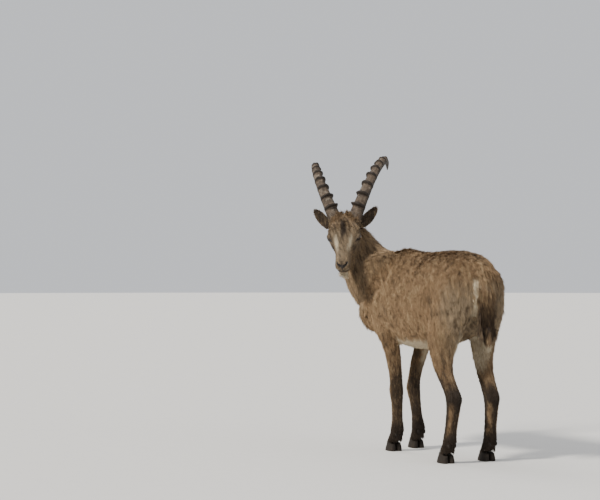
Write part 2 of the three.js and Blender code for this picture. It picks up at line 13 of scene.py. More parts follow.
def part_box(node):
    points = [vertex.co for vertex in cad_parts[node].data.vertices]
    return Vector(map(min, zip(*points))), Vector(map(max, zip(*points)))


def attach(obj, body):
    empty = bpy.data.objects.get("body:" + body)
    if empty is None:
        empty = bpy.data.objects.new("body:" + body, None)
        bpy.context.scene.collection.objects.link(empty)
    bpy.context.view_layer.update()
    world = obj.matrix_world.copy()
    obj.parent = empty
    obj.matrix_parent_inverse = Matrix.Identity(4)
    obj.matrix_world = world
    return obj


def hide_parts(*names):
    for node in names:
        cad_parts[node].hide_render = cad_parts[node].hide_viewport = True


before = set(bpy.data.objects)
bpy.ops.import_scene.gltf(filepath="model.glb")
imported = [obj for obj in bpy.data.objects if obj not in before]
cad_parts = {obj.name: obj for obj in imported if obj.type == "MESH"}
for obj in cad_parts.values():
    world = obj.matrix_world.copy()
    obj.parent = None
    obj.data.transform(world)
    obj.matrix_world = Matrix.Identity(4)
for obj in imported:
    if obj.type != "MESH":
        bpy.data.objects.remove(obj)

bl_info = {
    "name": "Alpine ibex model",
    "version": (1, 0, 0),
    "blender": (4, 5, 0),
    "location": "View3D > Sidebar > Ibex",
    "description": "Dresses the ibex's solids with skin, coat, horns, eyes and hooves",
    "category": "Object",
}

# Where the parts of the animal are, in metres. +X is ahead, +Y the animal's left, +Z up.
PLAN_CENTRE = Vector((0.1996, 0.0765, 0.0))  # the middle of the plan, from the middle of the trunk
BODY = "root"
LEGS = ("leg_fore_left", "leg_fore_right", "leg_hind_left", "leg_hind_right")
FORE, HIND = LEGS[:2], LEGS[2:]
FLESH = ("torso", "neck", "head", "tail") + LEGS
SIDES = {"left": 1, "right": -1}
TAIL_ASIDE = 0.012  # the tail hangs this far to the left of the trunk's middle
MADE = {}  # what one operator makes and a later one needs

# The head's own frame: x to the nose, y to its left, z out of the forehead. Its origin is at the poll.
HEAD_AT = Vector((0.437, 0.191, 0.960)) - PLAN_CENTRE
HEAD_HEADING = math.radians(149)
HEAD_PITCH = math.radians(42)
HEAD_ROLL = math.radians(3)
EYE_AT = Vector((0.104, 0.059, 0.003))
EYE_RADIUS = 0.0142
EAR_ROOT = Vector((0.022, 0.057, -0.022))
EAR_ALONG = Vector((-0.073, 0.078, 0.053))
EAR_HOLLOW = Vector((0.72, 0.3, 0.61))
EAR_WIDTH = 0.050

# The camera stands where the photographer stood
CAMERA_AT = Vector((-5.940, 3.379, 0.775)) - PLAN_CENTRE
CAMERA_YAW = math.radians(-25)
CAMERA_PITCH = math.radians(0.515)
CAMERA_LENS = 100.2  # mm
SENSOR_WIDTH = 36  # mm


def head_matrix():
    """The head's own frame, placed in the whole."""
    flat = Vector((math.cos(HEAD_HEADING), math.sin(HEAD_HEADING), 0))
    nose = flat * math.cos(HEAD_PITCH) - Vector((0, 0, math.sin(HEAD_PITCH)))
    left = Matrix.Rotation(HEAD_ROLL, 3, nose) @ Vector((-flat.y, flat.x, 0))
    brow = nose.cross(left)
    turn = Matrix((nose, left, brow)).transposed()
    return Matrix.LocRotScale(HEAD_AT, turn, None)


HEAD = head_matrix()


def on_side(vector, side):
    """A place or direction of the left side, on either side of the middle."""
    return Vector((vector[0], vector[1] * side, vector[2]))


def to_head(points):
    """Places in the head's own frame."""
    turn = np.array(HEAD.to_3x3())
    return (points - np.array(HEAD_AT)) @ turn


def from_head(directions):
    """Directions of the head's own frame, in the whole."""
    return directions @ np.array(HEAD.to_3x3()).T


def head_way(direction):
    """One direction of the head's own frame, in the whole."""
    return from_head(np.array(direction)[None])[0]


# Small maths on arrays

def unit(vectors):
    """Each vector at length 1."""
    return vectors / np.maximum(np.linalg.norm(vectors, axis=-1, keepdims=True), 1e-9)


def ramp(values, low, high):
    """0 below low, 1 above high, and smooth between them. It falls if low is over high."""
    t = np.clip((values - low) / (high - low), 0, 1)
    return t * t * (3 - 2 * t)


def ridge(values, at, width):
    """1 at a value, and less to both sides of it."""
    return np.exp(-(((values - at) / width) ** 2))


def blob(points, at, reach):
    """1 at a place, and less further from it. reach is one length or three."""
    away = (points - np.array(at)) / np.array(reach)
    return np.exp(-(away**2).sum(axis=1))


def blobs(points, forms):
    """The sum of named blobs, each with its height, its middle and its reach."""
    return sum(height * blob(points, at, reach) for height, at, reach in forms.values())


def average_out(values, edges, share, rounds):
    """Draws the values at each vertex towards those of its neighbours, by a share at each vertex."""
    near = np.maximum(np.bincount(edges.ravel(), minlength=len(values)), 1)[:, None]
    for step in range(rounds):
        total = np.zeros_like(values)
        for one, other in ((0, 1), (1, 0)):
            for axis in range(values.shape[1]):
                weights = values[edges[:, other], axis]
                total[:, axis] += np.bincount(edges[:, one], weights, len(values))
        values = values + share * (total / near - values)
    return values


def soften(points, edges, loose, back, rounds):
    """Smooths points without shrinking the whole: after each step in comes a slightly smaller one out."""
    for step in range(rounds):
        points = average_out(points, edges, loose, 1)
        points = average_out(points, edges, -loose * back, 1)
    return points


def vertex_normals(points, triangles):
    """The normal at each vertex, from the triangles round it."""
    a, b, c = (points[triangles[:, i]] for i in range(3))
    across = np.cross(b - a, c - a)
    normals = np.zeros_like(points)
    for corner in range(3):
        for axis in range(3):
            normals[:, axis] += np.bincount(triangles[:, corner], across[:, axis], len(points))
    return unit(normals)


# Meshes and pieces

def link(name, data):
    """A new object at the origin, with its mesh, light or camera."""
    piece = bpy.data.objects.new(name, data)
    bpy.context.scene.collection.objects.link(piece)
    return piece


def finish_piece(piece, material, replaces=(), smooth=True):
    """Gives a piece its material, its body and the solids it stands for."""
    piece.data.materials.clear()
    piece.data.materials.append(material)
    for face in piece.data.polygons:
        face.use_smooth = smooth
    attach(piece, BODY)
    if replaces:
        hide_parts(*replaces)


@contextmanager
def editing(mesh):
    """Opens a mesh for editing, and writes it back."""
    shape = bmesh.new()
    shape.from_mesh(mesh)
    yield shape
    shape.to_mesh(mesh)
    shape.free()


def joined_copy(name, nodes):
    """One object of the merged copies of some solids."""
    mesh = bpy.data.meshes.new(name)
    with editing(mesh) as shape:
        for node in nodes:
            shape.from_mesh(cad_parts[node].data)
        bmesh.ops.remove_doubles(shape, verts=shape.verts, dist=1e-6)
    return link(name, mesh)


def evaluated(piece):
    """The piece's mesh with its modifiers applied."""
    graph = bpy.context.evaluated_depsgraph_get()
    mesh = bpy.data.meshes.new_from_object(piece.evaluated_get(graph))
    piece.modifiers.clear()
    old = piece.data
    piece.data = mesh
    bpy.data.meshes.remove(old)
    return mesh


def fuse(piece, voxel):
    """Makes one closed surface of all that a piece holds, in steps of a voxel's size."""
    modifier = piece.modifiers.new("Fuse", "REMESH")
    modifier.mode = "VOXEL"
    modifier.voxel_size = voxel
    return evaluated(piece)


def read(data, kind, width=3, dtype=np.float64):
    """An array of one property of a mesh's vertices, edges or faces."""
    values = np.empty(len(data) * width, dtype=dtype)
    data.foreach_get(kind, values)
    return values.reshape(-1, width) if width > 1 else values


def write(mesh, name, values, domain="POINT"):
    """Keeps an array as a named attribute of a mesh: numbers, vectors, or pairs for a UV map."""
    values = np.asarray(values, dtype=np.float32)
    width = 1 if values.ndim == 1 else values.shape[1]
    kind, field = {1: ("FLOAT", "value"), 2: ("FLOAT2", "vector"), 3: ("FLOAT_VECTOR", "vector")}[width]
    made = mesh.attributes.new(name, kind, domain)
    made.data.foreach_set(field, values.ravel())


def set_points(mesh, points):
    """Moves a mesh's vertices."""
    mesh.vertices.foreach_set("co", points.ravel().astype(np.float32))
    mesh.update()


def ringed_mesh(name, rings):
    """A closed mesh over rings of points, each ring with as many points, and a fan at each end."""
    count, around = rings.shape[:2]
    points = np.vstack([rings.reshape(-1, 3), rings[0].mean(axis=0), rings[-1].mean(axis=0)])
    first, last = len(points) - 2, len(points) - 1
    last_ring = (count - 1) * around
    faces = []
    for low in range(0, last_ring, around):
        high = low + around
        for i in range(around):
            j = (i + 1) % around
            faces.append((low + i, low + j, high + j, high + i))
    for i in range(around):
        j = (i + 1) % around
        faces += [(first, j, i), (last, last_ring + i, last_ring + j)]
    mesh = bpy.data.meshes.new(name)
    mesh.from_pydata(points.tolist(), [], faces)
    return mesh


def turn_out(mesh):
    """Turns all faces of a closed mesh outwards."""
    with editing(mesh) as shape:
        bmesh.ops.recalc_face_normals(shape, faces=shape.faces)


# Node trees, for materials and for geometry

class Wire:
    """A socket that Python's operators work on, each with a Math node."""

    def __init__(self, tree, socket):
        self.tree = tree
        self.socket = socket

    def math(self, operation, *others, clamp=False):
        settings = {"operation": operation, "use_clamp": clamp}
        return self.tree.add("ShaderNodeMath", settings, dict(enumerate((self, *others)))).out()

    def __add__(self, other):
        return self.math("ADD", other)

    def __sub__(self, other):
        return self.math("SUBTRACT", other)

    def __rsub__(self, other):
        return (self * -1) + other

    def __mul__(self, other):
        return self.math("MULTIPLY", other)

    def __pow__(self, other):
        return self.math("POWER", other)

    __radd__ = __add__
    __rmul__ = __mul__

    def between(self, low, high):
        """0 below low, 1 above high, and smooth between them."""
        inputs = {"Value": self, "From Min": low, "From Max": high}
        return self.tree.add("ShaderNodeMapRange", {"interpolation_type": "SMOOTHSTEP"}, inputs).out()


class Made:
    """A node that was added, with its outputs as wires."""

    def __init__(self, tree, node):
        self.tree = tree
        self.node = node

    def out(self, name=None):
        """The output of a name, or the first one in use."""
        return Wire(self.tree, next(s for s in self.node.outputs if s.enabled and name in (None, s.name)))


class Tree:
    """Builds a node tree, one node at a time."""

    def __init__(self, tree):
        self.tree = tree
        tree.nodes.clear()

    def add(self, kind, settings=None, inputs=None):
        """A node of a type, with its settings, and values or wires for its sockets by name or number."""
        node = self.tree.nodes.new(kind)
        for name, value in (settings or {}).items():
            setattr(node, name, value)
        for name, value in (inputs or {}).items():
            if isinstance(name, int):
                socket = node.inputs[name]
            else:
                socket = next(s for s in node.inputs if s.name == name and s.enabled)
            if isinstance(value, Wire):
                self.tree.links.new(value.socket, socket)
            else:
                socket.default_value = value
        return Made(self, node)

    def mix(self, factor, first, second, blend="MIX"):
        """A colour between two colours, or one laid over the other."""
        settings = {"data_type": "RGBA", "blend_type": blend}
        first = first if isinstance(first, Wire) else (*first, 1)
        second = second if isinstance(second, Wire) else (*second, 1)
        made = self.add("ShaderNodeMix", settings, {0: factor, 6: first, 7: second})
        return Wire(self, made.node.outputs[2])

    def noise(self, place, scale, detail=3.0, roughness=0.5):
        inputs = {"Vector": place, "Scale": scale, "Detail": detail, "Roughness": roughness}
        return self.add("ShaderNodeTexNoise", {}, inputs).out()

    def stretched(self, place, turn=(0, 0, 0), scale=(1, 1, 1)):
        """Places turned and stretched, for a pattern that runs one way."""
        return self.add("ShaderNodeMapping", {}, {"Vector": place, "Rotation": turn, "Scale": scale}).out()

    def attribute(self, name, output="Fac"):
        """What a mesh keeps under a name."""
        return self.add("ShaderNodeAttribute", {"attribute_name": name}).out(output)

    def bump(self, height, distance):
        return self.add("ShaderNodeBump", {}, {"Height": height, "Distance": distance, "Strength": 1.0}).out()

    def object_place(self):
        return self.add("ShaderNodeTexCoord").out("Object")

    def darkened(self, colour, value):
        """A colour times a value."""
        grey = self.add("ShaderNodeCombineColor", {}, {0: value, 1: value, 2: value}).out()
        return self.mix(1.0, colour, grey, "MULTIPLY")


def new_material(name):
    """A material with a Principled shader. Returns it, its tree and a function that finishes it."""
    material = bpy.data.materials.new(name)
    material.use_nodes = True
    tree = Tree(material.node_tree)

    def surface(**inputs):
        named = {key.replace("_", " ").title().replace("Ior", "IOR"): value for key, value in inputs.items()}
        shader = tree.add("ShaderNodeBsdfPrincipled", {}, named)
        tree.add("ShaderNodeOutputMaterial", {}, {"Surface": shader.out()})
        return material

    return tree, surface


def shaded(colour, share):
    """A plain colour, darker or lighter by a share."""
    return tuple(c * share for c in colour)


# Settings that a user would change

def colour_property(name, description, default):
    return FloatVectorProperty(
        name=name, description=description, default=default, size=3, subtype="COLOR", min=0, max=1
    )


def length_property(name, description, default):
    return FloatProperty(name=name, description=description, default=default, unit="LENGTH", min=0)


class IbexCoat(bpy.types.PropertyGroup):
    depth: length_property("Depth", "How deep the skin lies under the tips of the trunk's hair", 0.009)
    length: length_property("Length", "Length of the hair on the trunk", 0.034)
    tuft_width: length_property("Tuft width", "Width of a tuft of the trunk's hair", 0.010)
    density: FloatProperty(name="Density", description="Tufts on a square metre of the trunk", default=24000)
    sway: length_property("Sway", "How far the tips of neighbouring tufts lean together", 0.012)
    seed: IntProperty(name="Seed", description="Start of the random scatter", default=7)
    tan: colour_property("Tan", "Main colour of the trunk", (0.215, 0.137, 0.073))
    grey: colour_property("Grey", "Colour of the haunches and of the face", (0.225, 0.172, 0.112))
    pale: colour_property("Pale", "Colour of the belly and beside the tail", (0.56, 0.475, 0.34))
    # Gold is a painted highlight: the golden streaks on the coat stand for the sunlit tips of its locks.
    gold: colour_property("Gold", "Colour of the streaks that the sun has bleached", (0.42, 0.305, 0.175))
    dark: colour_property("Dark", "Colour of the lower legs and the tail", (0.030, 0.020, 0.013))
    bare: colour_property("Bare", "Colour of the bare skin of the nose, lips and lids", (0.02, 0.016, 0.014))


class IbexHorn(bpy.types.PropertyGroup):
    knob_colour: colour_property("Knobs", "Colour of the knobs", (0.020, 0.014, 0.010))
    face_colour: colour_property("Between", "Colour between the knobs", (0.088, 0.064, 0.045))
    # The scuff colour is a painted highlight: pale patches on the horn's front between the knobs.
    horn_highlight_colour: colour_property("Scuffs", "Colour where a stretch is rubbed pale", (0.27, 0.225, 0.175))
    groove: length_property("Grooves", "Depth of the fine rings of growth", 0.0007)


class IbexEye(bpy.types.PropertyGroup):
    iris_colour: colour_property("Iris", "Colour of the iris", (0.17, 0.085, 0.025))
    pupil_width: FloatProperty(name="Pupil width", description="How much of the iris it spans", default=0.62)


class IbexHoof(bpy.types.PropertyGroup):
    wall_colour: colour_property("Wall", "Colour of the hoof's wall", (0.016, 0.012, 0.009))


class IbexStage(bpy.types.PropertyGroup):
    floor_colour: colour_property("Floor", "Colour of the floor", (0.62, 0.61, 0.59))
    key_power: FloatProperty(name="Key light", description="Strength of the main light", default=4.8)


SETTINGS = {"coat": IbexCoat, "horn": IbexHorn, "eye": IbexEye, "hoof": IbexHoof, "stage": IbexStage}


def settings(name):
    return getattr(bpy.context.scene, "ibex_" + name)


# The skin's shape

VOXEL = 0.0023
BODY_FACES = 0.2  # share of the trunk's and legs' faces that is kept
FINE_HEAD = 0.115  # how far from the middle of the face all faces are kept
NOSTRIL_RAISED = 0.007  # how far the skin's nostrils are over the solid's
NOSTRIL = np.array((0.003, -0.0205)), np.array((0.0200, -0.0100))  # its ends, to the side and up
LID_LONG, LID_HIGH = 0.0145, 0.0088  # half the length and half the height of the lids' opening
LID_THICK = 0.0013
SMOOTH_ROUNDS = 16

# Swellings and hollows of the face: how far each moves the skin, its middle and its reach
FACE_FORMS = {
    "chin": (0.0016, (0.268, 0, -0.062), (0.014, 0.012, 0.010)),
    "fold beside the nostril": (-0.0012, (0.250, 0.026, -0.020), (0.004, 0.012, 0.012)),
    "hollow under the cheekbone": (-0.0022, (0.178, 0.036, -0.034), (0.030, 0.014, 0.012)),
    "brow": (0.0030, EYE_AT + Vector((-0.006, -0.014, 0.022)), (0.024, 0.014, 0.011)),
    "hollow before the eye": (-0.0022, EYE_AT + Vector((0.021, 0, -0.005)), (0.008, 0.03, 0.0032)),
}


class Skin:
    """The skin's arrays, which the coat is grown from."""

    def __init__(self, mesh):
        mesh.calc_loop_triangles()
        self.points = read(mesh.vertices, "co")
        self.edges = read(mesh.edges, "vertices", 2, np.int32)
        self.triangles = read(mesh.loop_triangles, "vertices", 3, np.int32)
        self.part = nearest_parts(self.points)
        self.head = to_head(self.points)
        self.ear = self.ear_share()
        self.out = vertex_normals(self.points, self.triangles)

    def move(self, offsets):
        """Moves the points, and brings what depends on them up to date."""
        self.points = self.points + offsets
        self.head = to_head(self.points)
        self.out = vertex_normals(self.points, self.triangles)

    def is_part(self, *names):
        """1 on the named parts and 0 elsewhere."""
        return np.isin(self.part, [FLESH.index(name) for name in names]).astype(float)

    def spread(self, values, rounds):
        """Values smoothed over the skin."""
        flat = values[:, None] if values.ndim == 1 else values
        return average_out(flat, self.edges, 0.9, rounds).reshape(values.shape)

    def ear_share(self):
        """How far along an ear each point is, from 0 at its root to 1 at its tip."""
        share = np.zeros(len(self.points))
        for side in SIDES.values():
            root = np.array(on_side(EAR_ROOT, side))
            along = np.array(on_side(EAR_ALONG, side))
            t = (self.head - root) @ along / (along @ along)
            aside = np.linalg.norm(self.head - root - t[:, None] * along, axis=1)
            near = (aside < EAR_WIDTH * 0.62) & (self.head[:, 1] * side > 0.055) & (t > 0.08)
            share = np.where(near & (self.is_part("head") > 0), np.clip(t, 0, 1), share)
        return share


def nearest_parts(points):
    """The number of the flesh node that each point lies nearest to."""
    corners, faces, owner = [], [], []
    for number, name in enumerate(FLESH):
        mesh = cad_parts[name].data
        start = len(corners)
        corners.extend(v.co.copy() for v in mesh.vertices)
        for face in mesh.polygons:
            faces.append([start + i for i in face.vertices])
            owner.append(number)
    finder = BVHTree.FromPolygons(corners, faces)
    return np.array([owner[finder.find_nearest(point)[2]] for point in points.tolist()])


def remesh_skin(piece):
    """Fuses the flesh into one surface, fine at the head and coarser on the body."""
    mesh = fuse(piece, VOXEL)
    keep_largest(mesh)
    head = to_head(read(mesh.vertices, "co"))
    apart = np.linalg.norm((head - (0.12, 0, -0.02)) / (1.6, 1.1, 1), axis=1)
    body = np.nonzero(apart > FINE_HEAD)[0]
    group = piece.vertex_groups.new(name="Body")
    group.add(body.tolist(), 1.0, "REPLACE")
    thin = piece.modifiers.new("Thin", "DECIMATE")
    thin.vertex_group = group.name
    thin.ratio = BODY_FACES
    mesh = evaluated(piece)
    refine_face(mesh)
    return mesh


def refine_face(mesh):
    """Halves the edges round the muzzle and the eyes, and makes all faces triangles."""
    head = folded(to_head(read(mesh.vertices, "co")))
    eye = np.linalg.norm(head - np.array(EYE_AT), axis=1)
    fine = (head[:, 0] > 0.222) | (eye < 0.031)
    fine &= np.abs(head).max(axis=1) < 0.31
    with editing(mesh) as shape:
        edges = [edge for edge in shape.edges if all(fine[v.index] for v in edge.verts)]
        bmesh.ops.subdivide_edges(shape, edges=edges, cuts=1, use_grid_fill=True)
        bmesh.ops.triangulate(shape, faces=shape.faces)


def folded(head):
    """Places in the head's frame, with the right side laid over the left."""
    return np.stack([head[:, 0], np.abs(head[:, 1]), head[:, 2]], axis=1)


def mouth_height(x):
    """The height of the line of the mouth in the head's frame, from its corner to the front."""
    return -0.0495 - 0.06 * (x - 0.246) + 0.005 * ramp(x, 0.222, 0.200)


def off_nostril(place):
    """How far each place is from the line of the nostril, and its share of the way along it from the lip."""
    inner, outer = NOSTRIL
    along = outer - inner
    away = place[:, 1:] - inner
    share = np.clip(away @ along / (along @ along), 0, 1)
    return np.linalg.norm(away - share[:, None] * along, axis=1), share


def blend_lids(skin):
    """Melts the swelling over each eyeball into the brow and cheek, and keeps it off the eyeball."""
    away = folded(skin.head) - np.array(EYE_AT)
    off = np.linalg.norm(away, axis=1)
    loose = ramp(off, 0.038, 0.027) * ramp(round_the_eye(away), 1.35, 1.9) * (skin.is_part("head") > 0)
    skin.move(average_out(skin.points, skin.edges, 0.9 * loose[:, None], 40) - skin.points)
    away = folded(skin.head) - np.array(EYE_AT)
    off = np.linalg.norm(away, axis=1)
    push = np.maximum(EYE_RADIUS + LID_THICK - off, 0) * (loose > 0)
    outwards = unit(away) * np.stack([np.ones(len(off)), np.sign(skin.head[:, 1]), np.ones(len(off))], axis=1)
    skin.move(from_head(outwards * push[:, None]))


def round_the_eye(away):
    """How far out a place is from the middle of the lids' opening, 1 at its edge."""
    return np.sqrt((away[:, 0] / LID_LONG) ** 2 + ((away[:, 2] + 0.001) / LID_HIGH) ** 2)


def sculpt_face(skin):
    """Works the nostrils, the mouth, the lids and the folds round the eye into the skin."""
    on_head = skin.is_part("head")
    at_nostril = blob(folded(skin.head), (0.268, 0.013, -0.018), (0.03, 0.014, 0.014)) * (on_head > 0)
    skin.move((NOSTRIL_RAISED * at_nostril)[:, None] * head_way((-0.35, 0, 1.0)))
    place = folded(skin.head)
    x, y, z = place.T
    out = blobs(place, FACE_FORMS)  # how far each point moves along the skin's normal

    # the line of the mouth, with full lips above and below it
    over = z - mouth_height(x)
    mouth = ramp(x, 0.196, 0.212)
    out -= 0.0030 * mouth * ridge(over, 0, 0.0017)
    out += 0.0012 * mouth * ridge(over, 0.0055, 0.0040)
    out += 0.0014 * mouth * ridge(over, -0.0060, 0.0042)

    # the groove from the nose to the lip
    groove = ramp(x, 0.262, 0.272) * ramp(z, -0.014, -0.022) * (over > -0.001)
    out -= 0.0022 * groove * ridge(y, 0, 0.0015)
    out += 0.0012 * groove * ridge(y, 0.0055, 0.0035)

    # the slit of the nostril and its rim
    off, share = off_nostril(place)
    nose = ramp(x, 0.228, 0.238)
    out -= 0.0045 * nose * ridge(off, 0, 0.0024) * ramp(share, 0.05, 0.35)
    out += 0.0016 * nose * ridge(off, 0.0062, 0.0026) * ramp(share, 0.1, 0.4)

    # the lids: a rounded rim round the opening and a fold above it
    away = place - np.array(EYE_AT)
    round_eye = round_the_eye(away)
    near = ramp(y, 0.046, 0.054) * ramp(np.linalg.norm(away, axis=1), 0.040, 0.030)
    upper = ramp(away[:, 2], -0.002, 0.004)
    out += 0.0013 * near * ridge(round_eye, 1.12, 0.20) * (0.7 + 0.5 * upper)
    out -= 0.0008 * near * ridge(round_eye, 1.60, 0.18)

    # the root of the horn
    out += 0.017 * blob(place, (0.004, 0.066, 0.012), (0.036, 0.022, 0.026)) * ramp(y, 0.03, 0.055)
    out *= on_head * (skin.ear == 0)

    # the skin flares out again to meet the hooves
    low = skin.points[:, 2]
    out += skin.is_part(*LEGS) * 0.0035 * ramp(low, 0.085, 0.050) * ramp(np.abs(skin.out[:, 2]), 0.8, 0.4)
    skin.move(skin.out * out[:, None])


def keep_largest(mesh):
    """Drops all but the largest closed surface of a mesh."""
    edges = read(mesh.edges, "vertices", 2, np.int32)
    label = np.arange(len(mesh.vertices))
    while True:
        low = np.minimum(label[edges[:, 0]], label[edges[:, 1]])
        new = label.copy()
        np.minimum.at(new, edges[:, 0], low)
        np.minimum.at(new, edges[:, 1], low)
        new = new[new]
        if (new == label).all():
            break
        label = new
    extra = np.nonzero(label != np.bincount(label).argmax())[0]
    with editing(mesh) as shape:
        shape.verts.ensure_lookup_table()
        bmesh.ops.delete(shape, geom=[shape.verts[i] for i in extra], context="VERTS")


def smooth_skin(skin):
    """Smooths the solids' facets: most on the trunk, little at the face and least on the ears."""
    loose = 0.6 * skin.is_part("torso", "neck", "tail") + 0.45 * skin.is_part(*LEGS)
    fine = ramp(np.linalg.norm(skin.head - (0.10, 0, 0.0), axis=1), 0.10, 0.2)
    loose += skin.is_part("head") * (0.22 + 0.1 * fine)
    loose = np.where(skin.ear > 0.05, 0.2, loose)[:, None]
    points = soften(skin.points, skin.edges, loose, 0.96, SMOOTH_ROUNDS)
    body = skin.spread(skin.is_part("torso", "neck", "tail", *HIND), 10)[:, None]
    points = average_out(points, skin.edges, 0.5 * body**2, 12)
    skin.move(points - skin.points)


def coat_depth(skin):
    """How deep the skin lies under the solids' surface at each vertex."""
    deep = settings("coat").depth
    depth = deep * skin.is_part("torso", "neck") + 0.006 * skin.is_part("tail")
    depth += skin.is_part(*LEGS) * (0.0015 + 0.0065 * ramp(skin.points[:, 2], 0.30, 0.52))
    face = 0.0012 + 0.0035 * ramp(skin.head[:, 0], 0.13, 0.02)
    depth += skin.is_part("head") * face
    depth = skin.spread(depth, 20)
    return np.where(skin.ear > 0.15, 0.0004, depth)


# Where the hair lies, how long it is and what colour it has

RUFF_LONG = 0.023  # the hair round the roots of the horns
CHIN_LONG = 0.026

# Marks of the head: how strong each is, its middle and its reach
HEAD_DARK = {
    "streak on the forehead": (0.85, (0.085, 0.0, 0.045), (0.042, 0.012, 0.05)),
    # Painted shade: the socket of the eye, under the brow, is darkened.
    "socket of the eye": (0.30, EYE_AT + Vector((0, 0.008, 0.012)), (0.026, 0.02, 0.016)),
    "line before the eye": (0.5, (0.145, 0.046, -0.016), (0.035, 0.012, 0.012)),
    "muzzle": (0.3, (0.262, 0.012, -0.004), (0.030, 0.03, 0.022)),
}
HEAD_PALE = {
    "chin": (0.8, (0.238, 0.0, -0.074), (0.04, 0.034, 0.016)),
    "ring before the horn": (0.3, (0.058, 0.062, 0.026), (0.022, 0.02, 0.014)),
    "upper lip": (0.5, (0.262, 0.024, -0.040), (0.022, 0.012, 0.008)),
}


def hair_lie(skin):
    """The way that the hair lies at each vertex, along the skin."""
    points, head = skin.points, skin.head
    torso, neck, tail = (skin.is_part(name)[:, None] for name in ("torso", "neck", "tail"))
    legs = skin.is_part(*LEGS)[:, None]
    rear = ramp(points[:, 0], -0.36, -0.52)[:, None]
    flank = ramp(np.abs(skin.out[:, 1]), 0.15, 0.75)[:, None]
    breast = ramp(points[:, 0], 0.08, 0.2)[:, None] * ramp(skin.out[:, 0], 0.1, 0.6)[:, None]
    trunk = np.array((-1.0, 0, -0.05)) + flank * np.array((0.35, 0, -0.75))
    trunk = trunk * (1 - rear) + rear * np.array((-0.15, 0, -1.0))
    trunk = trunk * (1 - breast) + breast * np.array((-0.1, 0, -1.0))
    lie = torso * trunk + neck * np.array((-0.38, -0.18, -0.9))
    lie = lie + legs * np.array((-0.12, 0, -1.0)) + tail * np.array((-0.1, 0, -1.0))
    side = np.sign(head[:, 1])
    cheek = ramp(head[:, 2], 0.005, -0.035) * ramp(head[:, 0], 0.24, 0.18)
    ones = np.ones(len(head))
    ahead = np.stack([ones, side * 0.15, 0 * side], axis=1)
    behind = np.stack([-0.7 * ones, side * 0.1, -0.7 * ones], axis=1)
    face = ahead * (1 - cheek)[:, None] + behind * cheek[:, None]
    lie = lie + skin.is_part("head")[:, None] * from_head(face)
    for way in SIDES.values():
        ear = (skin.ear > 0.12) & (side == way)
        lie[ear] = head_way(on_side(EAR_ALONG, way).normalized())
    lie = skin.spread(lie, 30)
    lie -= (lie * skin.out).sum(axis=1, keepdims=True) * skin.out
    return unit(lie)


def lift_off_skin(skin, least, share):
    """Raises hair that would run into the skin, until it leaves it by at least a slope."""
    rise = (skin.lie * skin.out).sum(axis=1, keepdims=True)
    skin.lie = unit(skin.lie + share * np.maximum(least - rise, 0) * skin.out)


def raise_ruff(skin, side):
    """Stands the hair up along the root of a horn, uneven in length."""
    turn = HEAD @ Matrix.Rotation(-HEAD_PITCH, 4, "Y") @ Matrix.Rotation(-HORN_LEAN * side, 4, "X")
    axis = np.array(turn.to_3x3() @ Vector((0, 0, 1)))
    away = skin.points - np.array(HEAD @ on_side(HORN_ROOT, side))
    along = away @ axis
    radial = away - along[:, None] * axis
    share = ramp(np.linalg.norm(radial, axis=1), 0.060, 0.040) * ramp(along, -0.040, -0.022)
    share = share * (skin.is_part("head") > 0) * (skin.ear == 0) * (np.sign(skin.head[:, 1]) == side)
    uneven = 0.78 + 0.30 * np.sin(170 * skin.points[:, 0] + 2) * np.sin(210 * skin.points[:, 1])
    skin.long = np.where(share > 0.4, RUFF_LONG * uneven, skin.long)
    share = share[:, None]
    up = unit(axis + 0.25 * unit(radial) + 0.35 * skin.lie)
    skin.lie = unit(skin.lie * (1 - share) + up * share)
    skin.stand = unit(skin.stand * (1 - share) + unit(radial) * share)
    lift_off_skin(skin, 0.3, ramp(share, 0.0, 0.15))


def hang_chin(skin):
    """Lets the hair of the chin hang."""
    at_chin = blob(folded(skin.head), (0.236, 0.0, -0.076), (0.020, 0.018, 0.008)) > 0.35
    chin = at_chin & (skin.is_part("head") > 0) & (skin.ear == 0)
    skin.lie[chin] = unit(np.array((0.1, 0.05, -1.0)) + 0.25 * skin.out[chin])
    skin.stand[chin] = head_way((1.0, 0, 0))
    skin.long[chin] = CHIN_LONG


def hang_tail(skin):
    """Lets the hair of the tail hang, spread to both sides."""
    tail = skin.is_part("tail")[:, None]
    end = ramp(skin.points[:, 2], 0.60, 0.54)[:, None]
    side = np.sign(skin.points[:, 1:2] + PLAN_CENTRE.y - TAIL_ASIDE)
    aside = 0.42 * side * ramp(np.abs(skin.out[:, 1:2]), 0.2, 0.8)
    skin.lie = unit(skin.lie + tail * (end * np.array((0, 0, -3.0)) + aside * np.array((0, 1, 0))))
    lift_off_skin(skin, 0.08, tail)
    level = unit(skin.out * (1, 1, 0.1) - (0.02, 0, 0))
    skin.stand = unit(skin.stand * (1 - tail) + level * tail)


def stand_up(skin):
    """Sets which way the hair stands: out from the skin, but for the horns' roots, the chin and the tail."""
    skin.stand = skin.out.copy()
    for side in SIDES.values():
        raise_ruff(skin, side)
    hang_chin(skin)
    hang_tail(skin)


